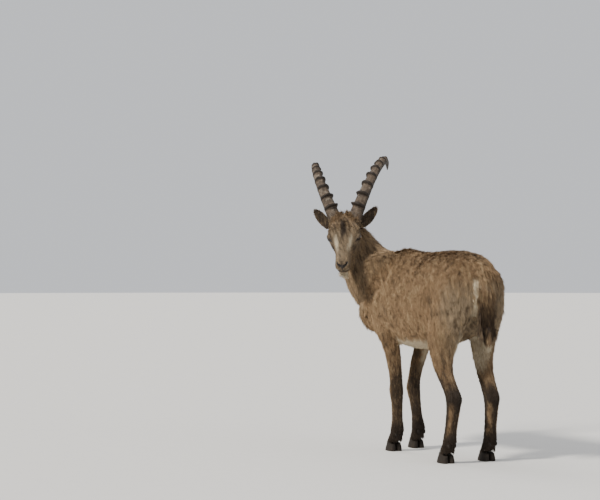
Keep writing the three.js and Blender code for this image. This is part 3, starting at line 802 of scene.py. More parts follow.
def hair_length(skin):
    """The length of the hair at each vertex."""
    points, head = skin.points, skin.head
    base = settings("coat").length
    throat = 1 + 0.35 * ramp(skin.out[:, 2], 0.1, -0.6)
    length = base * skin.is_part("torso") + base * 1.15 * throat * skin.is_part("neck")
    length += skin.is_part(*LEGS) * (0.012 + (base - 0.014) * ramp(points[:, 2], 0.30, 0.56))
    length += skin.is_part(*LEGS) * 0.003 * ramp(points[:, 2], 0.075, 0.055)
    length += skin.is_part("tail") * base * 1.5
    face = 0.0045 + 0.0035 * ramp(head[:, 0], 0.24, 0.18)
    face += 0.014 * ramp(head[:, 0], 0.105, 0.05) * ramp(head[:, 2], 0.0, 0.03)
    face += 0.007 * ramp(head[:, 2], -0.02, -0.08) * ramp(head[:, 0], 0.2, 0.1)
    at_eye = np.linalg.norm(folded(head) - np.array(EYE_AT), axis=1)
    face *= 1 - 0.45 * ramp(at_eye, 0.036, 0.024)
    length += skin.is_part("head") * face
    length = skin.spread(length, 12)
    return np.where(skin.ear > 0.12, 0.010, length)


def bare_skin(skin):
    """1 where the skin is bare: the nose, the lips and the rims of the lids."""
    place = folded(skin.head)
    x, y, z = place.T
    off, share = off_nostril(place)
    nose = ramp(off, 0.0084 - 0.0032 * share, 0.0060 - 0.0026 * share) * ramp(x, 0.226, 0.236)
    groove = ramp(y, 0.0030, 0.0014) * ramp(x, 0.24, 0.25) * (z < -0.018) * (z > mouth_height(x))
    over = np.abs(z - mouth_height(x) - 0.001)
    lips = ramp(over, 0.0048, 0.0030) * ramp(x, 0.200, 0.216)
    away = place - np.array(EYE_AT)
    lids = ramp(round_the_eye(away), 1.45, 1.25) * ramp(y, 0.050, 0.054)
    corner = ramp(blob(place, EYE_AT + Vector((0.020, -0.002, -0.005)), (0.010, 0.02, 0.0036)), 0.45, 0.65)
    bare = np.clip(nose + 0.8 * groove + lips + lids + corner, 0, 1)
    return bare * skin.is_part("head") * (skin.ear == 0)


def trunk_marks(skin):
    """A dark line along the back, a dark tail, a pale belly and rump, and grey haunches and shoulders."""
    x, y, z = skin.points.T
    up = skin.out[:, 2]
    torso, neck, tail = (skin.is_part(name) for name in ("torso", "neck", "tail"))
    fore, hind = skin.is_part(*FORE), skin.is_part(*HIND)
    aside = np.abs(y + PLAN_CENTRE.y)
    from_tail = y + PLAN_CENTRE.y - TAIL_ASIDE
    spine = ramp(aside, 0.026, 0.006) * ramp(up, 0.5, 0.9) * ramp(x, 0.30, 0.1) * (torso + neck)
    dark = 0.5 * spine + tail * (0.30 + 0.42 * ramp(z, 0.71, 0.60) - 0.25 * ramp(z, 0.54, 0.50))

    belly = ramp(z, 0.51, 0.45) * ramp(up, -0.1, -0.65) * (torso + hind + fore)
    belly = np.maximum(belly, ramp(z, 0.50, 0.455) * ramp(x, 0.16, 0.10) * ramp(x, -0.40, -0.30) * torso)
    rump = ramp(np.abs(from_tail), 0.016, 0.026) * ramp(np.abs(from_tail), 0.052, 0.038)
    rump *= ramp(z, 0.55, 0.63) * ramp(z, 0.748, 0.715) * ramp(x, -0.55, -0.59) * (1 - tail)
    # Painted shade: the pale stripe is fainter on the right of the tail than on its left.
    rump *= np.where(from_tail > 0, 0.85, 0.4)
    inside = ramp(z, 0.58, 0.50) * ramp(z, 0.30, 0.40) * hind * ramp(aside, 0.095, 0.06)
    wisps = tail * ramp(from_tail, 0.012, 0.030) * ramp(z, 0.60, 0.53)
    pale = belly + rump + 0.7 * inside + 0.35 * wisps

    haunch = ramp(x, -0.38, -0.53) * ramp(z, 0.80, 0.66) * ramp(z, 0.30, 0.50) * (torso + hind)
    shoulder = ramp(z, 0.42, 0.56) * fore + torso * blob(skin.points, (0.04, 0.05, 0.60), (0.12, 0.1, 0.14))
    grey = 0.75 * haunch + 0.45 * neck + 0.3 * shoulder
    return np.stack([dark, pale, grey], axis=1)


def leg_marks(skin):
    """Dark legs and feet, with painted highlights: lighter fronts of the fore knees and a tan streak on the
    hind cannons.
    """
    x, z = skin.points[:, 0], skin.points[:, 2]
    to_front, to_side = skin.out[:, 0], np.abs(skin.out[:, 1])
    fore, hind = skin.is_part(*FORE), skin.is_part(*HIND)
    feet = ramp(z, 0.13, 0.08) * 0.5
    rear = ramp(to_front, 0.3, -0.4)
    ahead = ramp(to_front, -0.2, 0.6)
    # Painted highlight: the fronts of the fore knees are lighter.
    knee_highlight = ridge(z, 0.25, 0.05) * ahead
    fore_dark = ramp(z, 0.50, 0.26) * (0.54 + 0.18 * rear) - 0.25 * knee_highlight + feet
    # Painted highlight: a tan streak where the hind cannons face to the side and back.
    streak = ramp(to_side * 0.88 - to_front * 0.47, 0.90, 0.99) * ramp(z, 0.26, 0.21) * ramp(z, 0.09, 0.13)
    hock = ridge(z, 0.265, 0.04) * ridge(x, -0.555, 0.03)
    shin = ramp(z, 0.60, 0.36) * ahead * 0.5
    hind_dark = ramp(z, 0.42, 0.26) * (0.74 - 0.60 * streak) + shin * (1 - streak) + feet + 0.4 * hock
    dark = fore * np.clip(fore_dark, 0, 1) + hind * np.clip(hind_dark, 0, 1)
    return np.stack([dark, 0 * dark, 0 * dark], axis=1)


def head_marks(skin):
    """A dark streak on the forehead, painted highlights as pale stripes beside the nose, and painted shade as
    dark insides of the ears.
    """
    place = folded(skin.head)
    on_head = skin.is_part("head")
    slanted = place + np.outer(place[:, 0] - 0.155, (0, 0.15, 0))
    # Painted highlight: pale stripes along both sides of the nose's bridge.
    nose_highlight = blob(slanted, (0.152, 0.028, 0.014), (0.052, 0.011, 0.03))
    crown = ramp(place[:, 0], 0.10, 0.03) * ramp(place[:, 2], 0.01, 0.04)
    hollow, rim = np.zeros(len(place)), np.zeros(len(place))
    for side in SIDES.values():
        facing = skin.out @ head_way(on_side(EAR_HOLLOW, side).normalized())
        inner = (skin.ear > 0.15) & (skin.head[:, 1] * side > 0)
        # Painted shade: the hollow of each ear is darkened.
        hollow += inner * ramp(facing, 0.35, 0.8)
        rim += inner * ramp(np.abs(facing - 0.1), 0.35, 0.1)
    dark = on_head * (blobs(place, HEAD_DARK) + 0.2 * crown + 0.17) + 0.50 * hollow
    pale = on_head * (blobs(place, HEAD_PALE) + 0.72 * nose_highlight) + 0.4 * rim
    grey = on_head * (0.65 - 0.4 * crown)
    return np.stack([dark, pale, grey], axis=1)


def markings(skin):
    """Shares of dark, pale and grey at each vertex."""
    shares = trunk_marks(skin) + leg_marks(skin) + head_marks(skin)
    return skin.spread(np.clip(shares, 0, 1), 2)


def unwrap(skin):
    """The skin's own map: a square for each part and each way that its faces look."""
    corners = skin.points[skin.triangles]
    across = np.cross(corners[:, 1] - corners[:, 0], corners[:, 2] - corners[:, 0])
    main = np.abs(across).argmax(axis=1)
    looks = main * 2 + (np.take_along_axis(across, main[:, None], 1)[:, 0] < 0)
    part = skin.part[skin.triangles[:, 0]]
    ear = skin.ear[skin.triangles[:, 0]] > 0.1
    part = np.where(ear, len(FLESH) + (skin.head[skin.triangles[:, 0], 1] > 0), part)
    cell = part * 6 + looks
    cells = 8  # squares along each side of the map
    keep = np.array([[1, 2], [0, 2], [0, 1]])[main]
    flat = np.take_along_axis(corners, keep[:, None, :].repeat(3, axis=1), 2)
    uv = np.zeros_like(flat)
    for number in np.unique(cell):
        here = cell == number
        low = flat[here].min(axis=(0, 1))
        span = (flat[here].max(axis=(0, 1)) - low).max()
        inside = 0.03 + 0.94 * (flat[here] - low) / max(span, 1e-6)
        uv[here] = (inside + np.array([number % cells, number // cells])) / cells
    return uv


def make_skin():
    """The skin: one surface under the coat, which stands for all the flesh."""
    piece = joined_copy("skin", FLESH)
    mesh = remesh_skin(piece)
    skin = Skin(mesh)
    smooth_skin(skin)
    soft_out = unit(skin.spread(skin.out, 4))
    skin.move(-soft_out * coat_depth(skin)[:, None])
    blend_lids(skin)
    sculpt_face(skin)
    skin.lie = hair_lie(skin)
    skin.long = hair_length(skin)
    skin.bare = bare_skin(skin)
    skin.marks = markings(skin)
    stand_up(skin)
    skin.uv = unwrap(skin)
    set_points(mesh, skin.points)
    write_skin_attributes(mesh, skin, np.arange(len(skin.points)), skin.uv)
    finish_piece(piece, coat_material("Skin", on_skin=True), FLESH)
    MADE["skin"] = skin


def write_skin_attributes(mesh, skin, rows, uv):
    """Keeps what the materials and the coat need of the skin on a mesh."""
    write(mesh, "Marks", skin.marks[rows])
    write(mesh, "Bare", skin.bare[rows])
    write(mesh, "Lie", skin.lie[rows])
    write(mesh, "OFBake", uv.reshape(-1, 2), "CORNER")


# The coat

STREAKS_LEAN = math.radians(-32)  # streaks run down and back, as the hair does
PATCH = 0.003  # width of a tuft's patch on the coat's map
SWAY_LENGTH = 0.034  # the length of hair that the sway setting is given for
TRUNK_CUTS = (-1, -0.42, -0.26, -0.10, 0.04, 0.5)  # where the trunk's coat is divided, from rump to breast
NECK_CUT = 0.80  # the height at which the neck's coat is divided
LEAST_BROAD, MOST_BROAD = 0.32, 1.2  # how narrow and how wide tufts get as the hair's length changes
NECK_LIFT, TAIL_LIFT = 0.03, -0.05  # radians off the skin


def coat_material(name, on_skin=False):
    """Hair in the markings' colours, with painted shade between the locks and at the hairs' roots and painted
    highlights as golden streaks, or the skin under it, darkened as painted shade.
    """
    coat = settings("coat")
    tree, surface = new_material(name)
    place = tree.object_place()
    shares = tree.add("ShaderNodeSeparateXYZ", {}, {0: tree.attribute("Marks", "Vector")})
    dark, pale, grey = (shares.out(axis) for axis in "XYZ")
    patch = tree.noise(place, 8, 4, 0.6)
    leaning = tree.stretched(place, turn=(0, STREAKS_LEAN, 0))
    streak = tree.noise(tree.stretched(leaning, scale=(0.42, 1, 0.12)), 108, 3, 0.65)
    lock = tree.noise(tree.stretched(leaning, scale=(0.42, 1, 0.14)), 290, 2, 0.6)
    fleck = (patch - 0.5) * 1.4 + (streak - 0.5) * 1.6 + (lock - 0.5) * 1.4
    if not on_skin:
        strand = tree.attribute("Strand")
        fleck = fleck + (strand - 0.5) * 0.5
    colour = tree.mix((grey + fleck * 0.5).between(0.1, 0.9), coat.tan, coat.grey)
    # Painted shade: patches of a darker tan, as between the coat's locks.
    lock_shade = (streak * 0.6 + patch * 0.3 + lock * 0.1).between(0.50, 0.60) * 0.78
    colour = tree.mix(lock_shade, colour, shaded(coat.tan, 0.28))
    # Painted highlight: golden streaks, as on the sunlit tips of the locks.
    coat_highlight = (1 - streak * 0.6 - patch * 0.2 - lock * 0.2).between(0.51, 0.62) * 0.6
    colour = tree.mix(coat_highlight, colour, coat.gold)
    colour = tree.mix((pale + fleck * 0.35).between(0.15, 0.8), colour, coat.pale)
    colour = tree.mix((dark + fleck * 0.35).between(0.12, 0.85), colour, coat.dark)
    shade = 1 + fleck * 0.35
    if not on_skin:
        # Painted shade: each hair is darker at its root than at its tip; each hair's tone also differs at
        # random.
        shade = shade * (0.80 + 0.36 * tree.attribute("Tip")) * (0.86 + 0.28 * strand)
        return surface(base_color=tree.darkened(colour, shade), roughness=0.82, specular_ior_level=0.25)
    bare = tree.attribute("Bare")
    strands = tree.noise(tree.stretched(place, scale=(0.3, 1, 0.25)), 420, 3, 0.7)
    pebbles = tree.add("ShaderNodeTexVoronoi", {}, {"Vector": place, "Scale": 700.0}).out("Distance")
    # Painted shade: under the coat, the skin takes the coat's colour darkened, as deep between the hairs; the
    # nose, lips and lids keep their bare colour.
    colour = tree.mix(bare, tree.darkened(colour, shade * (0.42 + 0.42 * strands)), coat.bare)
    bumps = tree.bump(strands * (1 - bare) + pebbles * bare * 0.25, 0.0012)
    return surface(base_color=colour, roughness=0.9 - bare * 0.35, specular_ior_level=0.3, normal=bumps)


def tuft_shape(name, hairs, seed, spread):
    """A tuft of unit length along y: thin three-sided hairs from one root, which lean together."""
    random = np.random.default_rng(seed)
    points, faces, strands = [], [], []
    for hair in range(hairs):
        start = ((hair + 0.5) / hairs - 0.5) * spread + random.uniform(-0.05, 0.05)
        half = random.uniform(0.10, 0.15)
        first = len(points)
        points += [(start - half, 0, -0.06), (start, 0, -0.02), (start + half, 0, -0.06)]
        tip = start * 0.75 + random.uniform(-0.22, 0.22)
        points.append((tip, random.uniform(0.70, 1.0), random.uniform(0.05, 0.22)))
        faces += [(first, first + 1, first + 3), (first + 1, first + 2, first + 3)]
        faces += [(first + 2, first, first + 3), (first, first + 2, first + 1)]
        strands += [random.uniform(0, 1)] * 4
    mesh = bpy.data.meshes.new(name)
    mesh.from_pydata(points, [], faces)
    turn_out(mesh)
    write(mesh, "Tip", np.tile([0, 0, 0, 1], hairs))
    write(mesh, "Strand", strands)
    write(mesh, "Patch", np.array(points) * (1, 1, 0))
    return mesh


TUFT_INPUTS = {
    "Skin": "Geometry",
    "Tuft": "Object",
    "Material": "Material",
    "Density": "Float",
    "Width": "Float",
    "Sway": "Float",
    "Lift": "Float",
    "Seed": "Int",
}


def tuft_tree():
    """Grows tufts on a surface, along its Lie and out from its Out, with the length that its Long gives."""
    group = bpy.data.node_groups.new("Tufts on skin", "GeometryNodeTree")
    names = {}
    for name, kind in TUFT_INPUTS.items():
        socket = group.interface.new_socket(name, in_out="INPUT", socket_type="NodeSocket" + kind)
        names[name] = socket.identifier
    group.interface.new_socket("Tufts", in_out="OUTPUT", socket_type="NodeSocketGeometry")
    tree = Tree(group)
    given = tree.add("NodeGroupInput")

    def named(name, kind="FLOAT_VECTOR"):
        return tree.add("GeometryNodeInputNamedAttribute", {"data_type": kind}, {"Name": name}).out()

    def random(low, high, offset):
        inputs = {"Min": low, "Max": high, "Seed": given.out("Seed") + offset}
        return tree.add("FunctionNodeRandomValue", {"data_type": "FLOAT"}, inputs).out()

    def vector(x, y, z):
        return tree.add("ShaderNodeCombineXYZ", {}, {0: x, 1: y, 2: z}).out()

    def vector_math(operation, first, second):
        key = 3 if operation == "SCALE" else 1
        return tree.add("ShaderNodeVectorMath", {"operation": operation}, {0: first, key: second}).out()

    scattered = tree.add("GeometryNodeDistributePointsOnFaces", {}, {
        "Mesh": given.out("Skin"),
        "Density": named("Cover", "FLOAT") * given.out("Density"),
        "Seed": given.out("Seed"),
    })
    standing = tree.add("FunctionNodeAxesToRotation", {"primary_axis": "Z", "secondary_axis": "Y"}, {
        "Primary Axis": named("Out"),
        "Secondary Axis": named("Lie"),
    })
    lift = random(-0.10, 0.10, 11) + given.out("Lift")
    angles = vector(lift, random(-0.25, 0.25, 12), random(-0.17, 0.17, 13))
    turned = tree.add("FunctionNodeEulerToRotation", {}, {0: angles})
    rotation = tree.add("FunctionNodeRotateRotation", {"rotation_space": "LOCAL"}, {
        "Rotation": standing.out(),
        "Rotate By": turned.out(),
    })
    long = named("Long", "FLOAT") * random(0.75, 1.2, 14)
    wide = given.out("Width") * named("Broad", "FLOAT") * random(0.75, 1.25, 15)
    tuft = tree.add("GeometryNodeObjectInfo", {}, {"Object": given.out("Tuft")}).out("Geometry")
    placed = tree.add("GeometryNodeInstanceOnPoints", {}, {
        "Points": scattered.out("Points"),
        "Instance": tuft,
        "Rotation": rotation.out(),
        "Scale": vector(wide, long, long),
    })
    real = tree.add("GeometryNodeRealizeInstances", {}, {"Geometry": placed.out()})

    # neighbouring tufts lean together: the further out along a hair, the more
    where = tree.add("GeometryNodeInputPosition").out()
    drift = tree.add("ShaderNodeTexNoise", {}, {"Vector": where, "Scale": 21.0, "Detail": 2.0}).out("Color")
    drift = vector_math("SUBTRACT", drift, (0.5, 0.5, 0.5))
    along = vector_math("CROSS_PRODUCT", named("Out"), vector_math("CROSS_PRODUCT", drift, named("Out")))
    amount = named("Tip", "FLOAT") * given.out("Sway") * named("Long", "FLOAT") * (4.0 / SWAY_LENGTH)
    moved = tree.add("GeometryNodeSetPosition", {}, {
        "Geometry": real.out(),
        "Offset": vector_math("SCALE", along, amount),
    })
    spot = vector_math("ADD", named("OFBake"), vector_math("SCALE", named("Patch"), PATCH))
    mapped = tree.add("GeometryNodeStoreNamedAttribute", {"data_type": "FLOAT2", "domain": "CORNER"}, {
        "Geometry": moved.out(),
        "Name": "OFBake",
        "Value": spot,
    })
    coloured = tree.add("GeometryNodeSetMaterial", {}, {
        "Geometry": mapped.out(),
        "Material": given.out("Material"),
    })
    tree.add("NodeGroupOutput", {}, {0: coloured.out()})
    return group, names


def patch_mesh(name, skin, chosen):
    """The chosen triangles of the skin as a mesh of their own, with what the coat needs."""
    triangles = skin.triangles[chosen]
    rows, new = np.unique(triangles, return_inverse=True)
    mesh = bpy.data.meshes.new(name)
    mesh.from_pydata(skin.points[rows].tolist(), [], new.reshape(-1, 3).tolist())
    write_skin_attributes(mesh, skin, rows, skin.uv[chosen])
    write(mesh, "Out", skin.stand[rows])
    write(mesh, "Long", skin.long[rows])
    write(mesh, "Broad", skin.broad[rows])
    write(mesh, "Cover", skin.cover[rows])
    return mesh


def grow(name, skin, chosen, tree, values):
    """One coat piece: tufts on the chosen triangles of the skin."""
    group, names = tree
    piece = link(name, patch_mesh(name, skin, chosen))
    modifier = piece.modifiers.new("Tufts", "NODES")
    modifier.node_group = group
    for key, value in values.items():
        modifier[names[key]] = value
    mesh = evaluated(piece)
    for extra in ("Out", "Long", "Broad", "Cover", "Patch", "Lie", "Bare"):
        if extra in mesh.attributes:
            mesh.attributes.remove(mesh.attributes[extra])
    finish_piece(piece, values["Material"], smooth=False)


def cover_skin(skin):
    """Sets how many tufts stand at each vertex, and how broad they are."""
    tail, head = skin.is_part("tail") > 0, skin.is_part("head") > 0
    skin.cover = (1 - skin.bare) * (1 + 2.2 * ramp(skin.long, 0.024, 0.008))
    skin.cover = np.where(tail, 3.0 * ramp(skin.out[:, 2], -0.65, -0.40), skin.cover)
    skin.cover = np.where(head, skin.cover * 1.2, skin.cover)
    under_foot = (skin.points[:, 2] < 0.06) & (skin.out[:, 2] < -0.6)
    skin.cover = np.where(under_foot, 0, skin.cover)
    broad = np.clip(skin.long / settings("coat").length, LEAST_BROAD, MOST_BROAD)
    skin.broad = broad * np.where(tail, 0.5, 1)


def coat_regions(skin):
    """The coat's pieces: the name of each, its triangles of the skin, its tuft and its lift."""
    middle = skin.points[skin.triangles].mean(axis=1)
    part = skin.part[skin.triangles[:, 0]]
    on = {name: part == number for number, name in enumerate(FLESH)}
    left = middle[:, 1] > -PLAN_CENTRE.y
    regions = []
    for number, (low, high) in enumerate(zip(TRUNK_CUTS, TRUNK_CUTS[1:])):
        between = on["torso"] & (middle[:, 0] >= low) & (middle[:, 0] < high)
        for side, chosen in (("left", left), ("right", ~left)):
            regions.append(("coat_trunk_%d_%s" % (number + 1, side), between & chosen, "full", 0))
    upper = middle[:, 2] > NECK_CUT
    regions.append(("coat_neck_upper", on["neck"] & upper, "full", NECK_LIFT))
    regions.append(("coat_neck_lower", on["neck"] & ~upper, "full", NECK_LIFT))
    for name in (*LEGS, "head"):
        regions.append(("coat_" + name, on[name], "small", 0))
    regions.append(("coat_tail", on["tail"], "full", TAIL_LIFT))
    return regions


def make_coat():
    """The coat: tufts over the whole skin, a piece for each region."""
    skin = MADE["skin"]
    coat = settings("coat")
    cover_skin(skin)
    tree = tuft_tree()
    tufts = {
        "full": link("tuft_full", tuft_shape("tuft_full", hairs=9, seed=3, spread=1.0)),
        "small": link("tuft_small", tuft_shape("tuft_small", hairs=5, seed=5, spread=0.8)),
    }
    values = {
        "Material": coat_material("Coat"),
        "Density": coat.density,
        "Width": coat.tuft_width,
        "Sway": coat.sway,
    }
    for number, (name, chosen, tuft, lift) in enumerate(coat_regions(skin)):
        own = {"Tuft": tufts[tuft], "Lift": float(lift), "Seed": coat.seed + number}
        grow(name, skin, chosen, tree, {**values, **own})
    for tuft in tufts.values():
        bpy.data.objects.remove(tuft)


# The horns

HORN_ROOT = Vector((-0.0005, 0.043, 0.020))  # in the head's frame
HORN_RADIUS = 0.275  # of the arc along its middle
HORN_START = math.radians(4)  # back from upright at the root
HORN_ARC = math.radians(114)
HORN_LEAN = math.radians(21.5)  # out to the side
HORN_SPREAD = math.radians(3)
HORN_DEEP = 0.062  # at the root, fore and aft
HORN_WIDE = 0.058
HORN_SLIM = 0.3  # the tip's size as a share of the root's
HORN_BLUNT = 0.64  # where it starts to round off towards the tip
HORN_SUNK = -0.045  # where its mesh starts inside the skin, as a share of its length
HORN_RINGS, HORN_AROUND = 300, 48  # the points of its mesh
HORN_STRETCH = {"left": 1.06, "right": 1.0}
KNOBS = 8
KNOB_FIRST = 0.09  # along the horn, as a share of its length
KNOB_STEP = 0.088
KNOB_LONG = 0.016
KNOB_HIGH = 0.011


def knob_height(share):
    """How high the knobs stand along the horn, from 0 to 1."""
    height = np.zeros_like(share)
    for knob in range(KNOBS):
        away = np.abs(share - (KNOB_FIRST + knob * KNOB_STEP)) / (KNOB_LONG * 1.15)
        fade = 1 - 0.45 * knob / KNOBS
        height = np.maximum(height, fade * ramp(away, 1.0, 0.15))
    return height


def horn_mesh(name, side, stretch):
    """A ridged horn along an arc: knobs on its front, fine rings of growth all round."""
    first = [HORN_SUNK, HORN_SUNK + 0.001]
    share = np.concatenate([first, np.linspace(HORN_SUNK + 0.003, 1, HORN_RINGS)])[:, None]
    turn = np.linspace(0, 2 * math.pi, HORN_AROUND, endpoint=False)[None, :]
    radius = HORN_RADIUS * stretch
    bend = HORN_START + HORN_ARC * share
    end = np.clip((share - HORN_BLUNT) / (1 - HORN_BLUNT), 0, 1)
    full = np.sqrt(np.maximum(0, 1 - end**2)) * np.where(share < HORN_SUNK + 0.0005, 0.02, 1)
    size = 1 + (HORN_SLIM - 1) * np.maximum(share, 0) ** 0.85
    c, w = np.cos(turn), np.sin(turn)
    front = np.where(c > 0, np.abs(c) ** 0.8, c)
    height = knob_height(share)
    knob = KNOB_HIGH * height * np.maximum(c + 0.35, 0) ** 0.5 * (1 - 0.25 * w)
    knob = knob * (1 + 0.12 * np.sin(turn * 5 + share * 90))
    inner = np.maximum(-w, 0)
    growth = np.sin(share * 430 + 2.2 * np.sin(share * 37) + 0.5 * np.cos(turn * 2))
    uneven = 0.55 + 0.45 * np.sin(share * 61 + 1.7 * np.sin(share * 23))
    fine = settings("horn").groove * uneven * (0.5 * growth - 0.5) * (1 - ramp(share, 0.8, 0.95))
    fine = fine + 0.0006 * np.sin(turn * 9 + 4 * share) * (1 - ramp(share, 0.5, 0.9))
    reach = ((HORN_DEEP / 2) * size + fine) * full * front + knob * np.maximum(c, 0) ** 0.5
    aside = ((HORN_WIDE / 2) * size + fine + (0.2 + 0.8 * inner) * knob) * full * w
    x = radius * (np.cos(bend) - math.cos(HORN_START)) + reach * np.cos(bend)
    z = radius * (np.sin(bend) - math.sin(HORN_START)) + reach * np.sin(bend)
    mesh = ringed_mesh(name, np.stack([x, side * aside, z], axis=2))
    place = (
        HEAD
        @ Matrix.Translation(on_side(HORN_ROOT, side))
        @ Matrix.Rotation(-HEAD_PITCH, 4, "Y")
        @ Matrix.Rotation(-HORN_SPREAD * side, 4, "Z")
        @ Matrix.Rotation(-HORN_LEAN * side, 4, "X")
    )
    mesh.transform(place)
    for key, values, at_tip in (("Knob", height, 0), ("Along", share, 1), ("Facing", 0.5 + 0.5 * c, 0)):
        write(mesh, key, np.append(np.broadcast_to(values, x.shape).ravel(), [0, at_tip]))
    turn_out(mesh)
    return mesh


def horn_material():
    """Ridged horn: dark knobs, greyer stretches between them, fine rings; painted highlight on the front
    between the knobs and painted shade on the horn's sides and back.
    """
    horn = settings("horn")
    tree, surface = new_material("Horn")
    place = tree.object_place()
    knob = tree.attribute("Knob")
    along = tree.attribute("Along")
    patch = tree.noise(place, 30, 5, 0.65)
    fine = tree.noise(place, 240, 3, 0.6)
    rings = (along * 520).math("SINE") * 0.5 + 0.5
    facing = tree.attribute("Facing")
    bare_stretch = (1 - knob.between(0.08, 0.50)) * (1 - along.between(0.80, 0.99))
    between_tone_and_highlight = bare_stretch * (0.15 + patch.between(0.36, 0.58) * 0.85)
    # Partly the horn's own colour between the knobs, partly painted light: it shows mostly on the front as
    # painted highlight and fades to the knobs' dark colour on the sides and back as painted shade.
    between_tone_and_highlight = between_tone_and_highlight * (0.08 + facing.between(0.40, 0.95) * 0.95)
    colour = tree.mix(between_tone_and_highlight.math("MULTIPLY", 1.0, clamp=True), horn.knob_colour, horn.face_colour)
    # Painted highlight: pale patches on the front between the knobs.
    horn_highlights = tree.noise(place, 42, 4, 0.65).between(0.50, 0.68) * bare_stretch * facing.between(0.45, 0.9)
    colour = tree.mix(horn_highlights * 0.45, colour, horn.horn_highlight_colour)
    colour = tree.darkened(colour, 0.62 + rings * 0.2 + fine * 0.45)
    bumps = tree.bump(rings * 0.4 + fine * 0.5 + patch * 0.5, 0.0009)
    return surface(base_color=colour, roughness=0.58 + patch * 0.25, specular_ior_level=0.25, normal=bumps)


def make_horns():
    """Both horns, each over its solid."""
    material = horn_material()
    for name, side in SIDES.items():
        mesh = horn_mesh("ridged_horn_" + name, side, HORN_STRETCH[name])
        finish_piece(link(mesh.name, mesh), material, ["horn_" + name])


# The eyes

IRIS_REACH, PUPIL_HIGH = 0.3, 0.062  # half the iris's width and half the pupil's height on the eye's map
IRIS_EDGE = (0.012, 0.008, 0.006)
PUPIL_COLOUR = (0.003, 0.003, 0.004)
EYE_LOOKS = Vector((0.16, 1, 0.06))  # which way the left eye looks, in the head's frame
PUPIL_TURN = HEAD_PITCH * 0.7  # the pupil stays nearly level as the head is lowered


def eye_material():
    """An amber iris with a level pupil, under a clear gloss."""
    eye = settings("eye")
    tree, surface = new_material("Eye")
    flat = tree.add("ShaderNodeUVMap", {"uv_map": "Iris"}).out()
    parts = tree.add("ShaderNodeSeparateXYZ", {}, {0: flat})
    x, y = parts.out("X") - 0.5, parts.out("Y") - 0.5
    away = (x * x + y * y).math("SQRT")
    long = x.math("ABSOLUTE") * (1 / (IRIS_REACH * eye.pupil_width))
    high = y.math("ABSOLUTE") * (1 / PUPIL_HIGH)
    pupil = 1 - (long**4 + high**4).between(0.7, 1.3)
    spokes = tree.noise(flat, 60, 4, 0.7)
    iris = tree.mix(spokes.between(0.3, 0.7), eye.iris_colour, shaded(eye.iris_colour, 0.45))
    iris = tree.mix(away.between(0.27, 0.34), iris, IRIS_EDGE)
    colour = tree.mix(pupil, iris, PUPIL_COLOUR)
    gloss = {"roughness": 0.08, "coat_weight": 0.35, "coat_roughness": 0.03, "specular_ior_level": 0.35}
    return surface(base_color=colour, **gloss)


def make_eyes():
    """Both eyeballs, each over its solid."""
    material = eye_material()
    for name, side in SIDES.items():
        looks = on_side(EYE_LOOKS, side).normalized()
        level = Vector((math.cos(PUPIL_TURN), 0, math.sin(PUPIL_TURN)))
        level = (level - looks * level.dot(looks)).normalized()
        mesh = bpy.data.meshes.new("eyeball_" + name)
        with editing(mesh) as shape:
            bmesh.ops.create_uvsphere(shape, u_segments=48, v_segments=32, radius=EYE_RADIUS)
        points = read(mesh.vertices, "co") / EYE_RADIUS
        corner = read(mesh.loops, "vertex_index", 1, np.int32)
        write(mesh, "Iris", (points[:, :2] * 0.5 + 0.5)[corner], "CORNER")
        set_points(mesh, points @ np.array((level, looks.cross(level), looks)) * EYE_RADIUS)
        mesh.transform(HEAD @ Matrix.Translation(on_side(EYE_AT, side)))
        turn_out(mesh)
        finish_piece(link("eyeball_" + name, mesh), material, ["eye_" + name])


# The hooves

HOOF_VOXEL, DEWCLAW_VOXEL = 0.0019, 0.0013
HOOF_ROUNDS = 5


def hoof_material():
    """Dull dark horn with fine rings round it."""
    hoof = settings("hoof")
    tree, surface = new_material("Hoof")
    place = tree.object_place()
    bands = tree.noise(tree.stretched(place, scale=(0.25, 0.25, 1)), 260, 3, 0.6)
    wear = tree.noise(place, 70, 4, 0.65)
    colour = tree.mix(wear.between(0.45, 0.75), hoof.wall_colour, shaded(hoof.wall_colour, 1.9))
    bumps = tree.bump(bands + wear * 0.4, 0.0008)
    return surface(base_color=colour, roughness=0.62 + wear * 0.25, specular_ior_level=0.2, normal=bumps)


def shape_claw(node, points):
    """Narrows a claw towards the hair and at the toe. A dewclaw is flattened to a stub that points down."""
    low, high = (np.array(corner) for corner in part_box(node))
    middle = (low + high) / 2
    reach = (high - low) / 2
    away = (points - middle) / reach
    if node.startswith("dewclaw_"):
        taper = 0.62 + 0.30 * ramp(away[:, 2], -1, 1)
        points = middle + away * reach * np.stack([taper * 0.8, taper, np.ones(len(taper))], axis=1)
        points[:, 0] += 0.002 * away[:, 2]
        return points
    leg = node.replace("hoof_", "").rsplit("_", 1)[0]
    pair = [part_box("hoof_%s_%s" % (leg, side)) for side in ("outer", "inner")]
    cleft = sum(corner[1] for box in pair for corner in box) / 4
    waist = 1 - 0.15 * ramp(points[:, 2], 0.006, 0.040)
    points[:, 0] = middle[0] + (points[:, 0] - middle[0]) * (waist + 0.02)
    points[:, 1] = cleft + (points[:, 1] - cleft) * waist
    toe = ramp(away[:, 0], 0.15, 1.0)
    points[:, 1] += (middle[1] - points[:, 1]) * 0.34 * toe
    points[:, 2] = np.maximum(points[:, 2], 0)
    return points


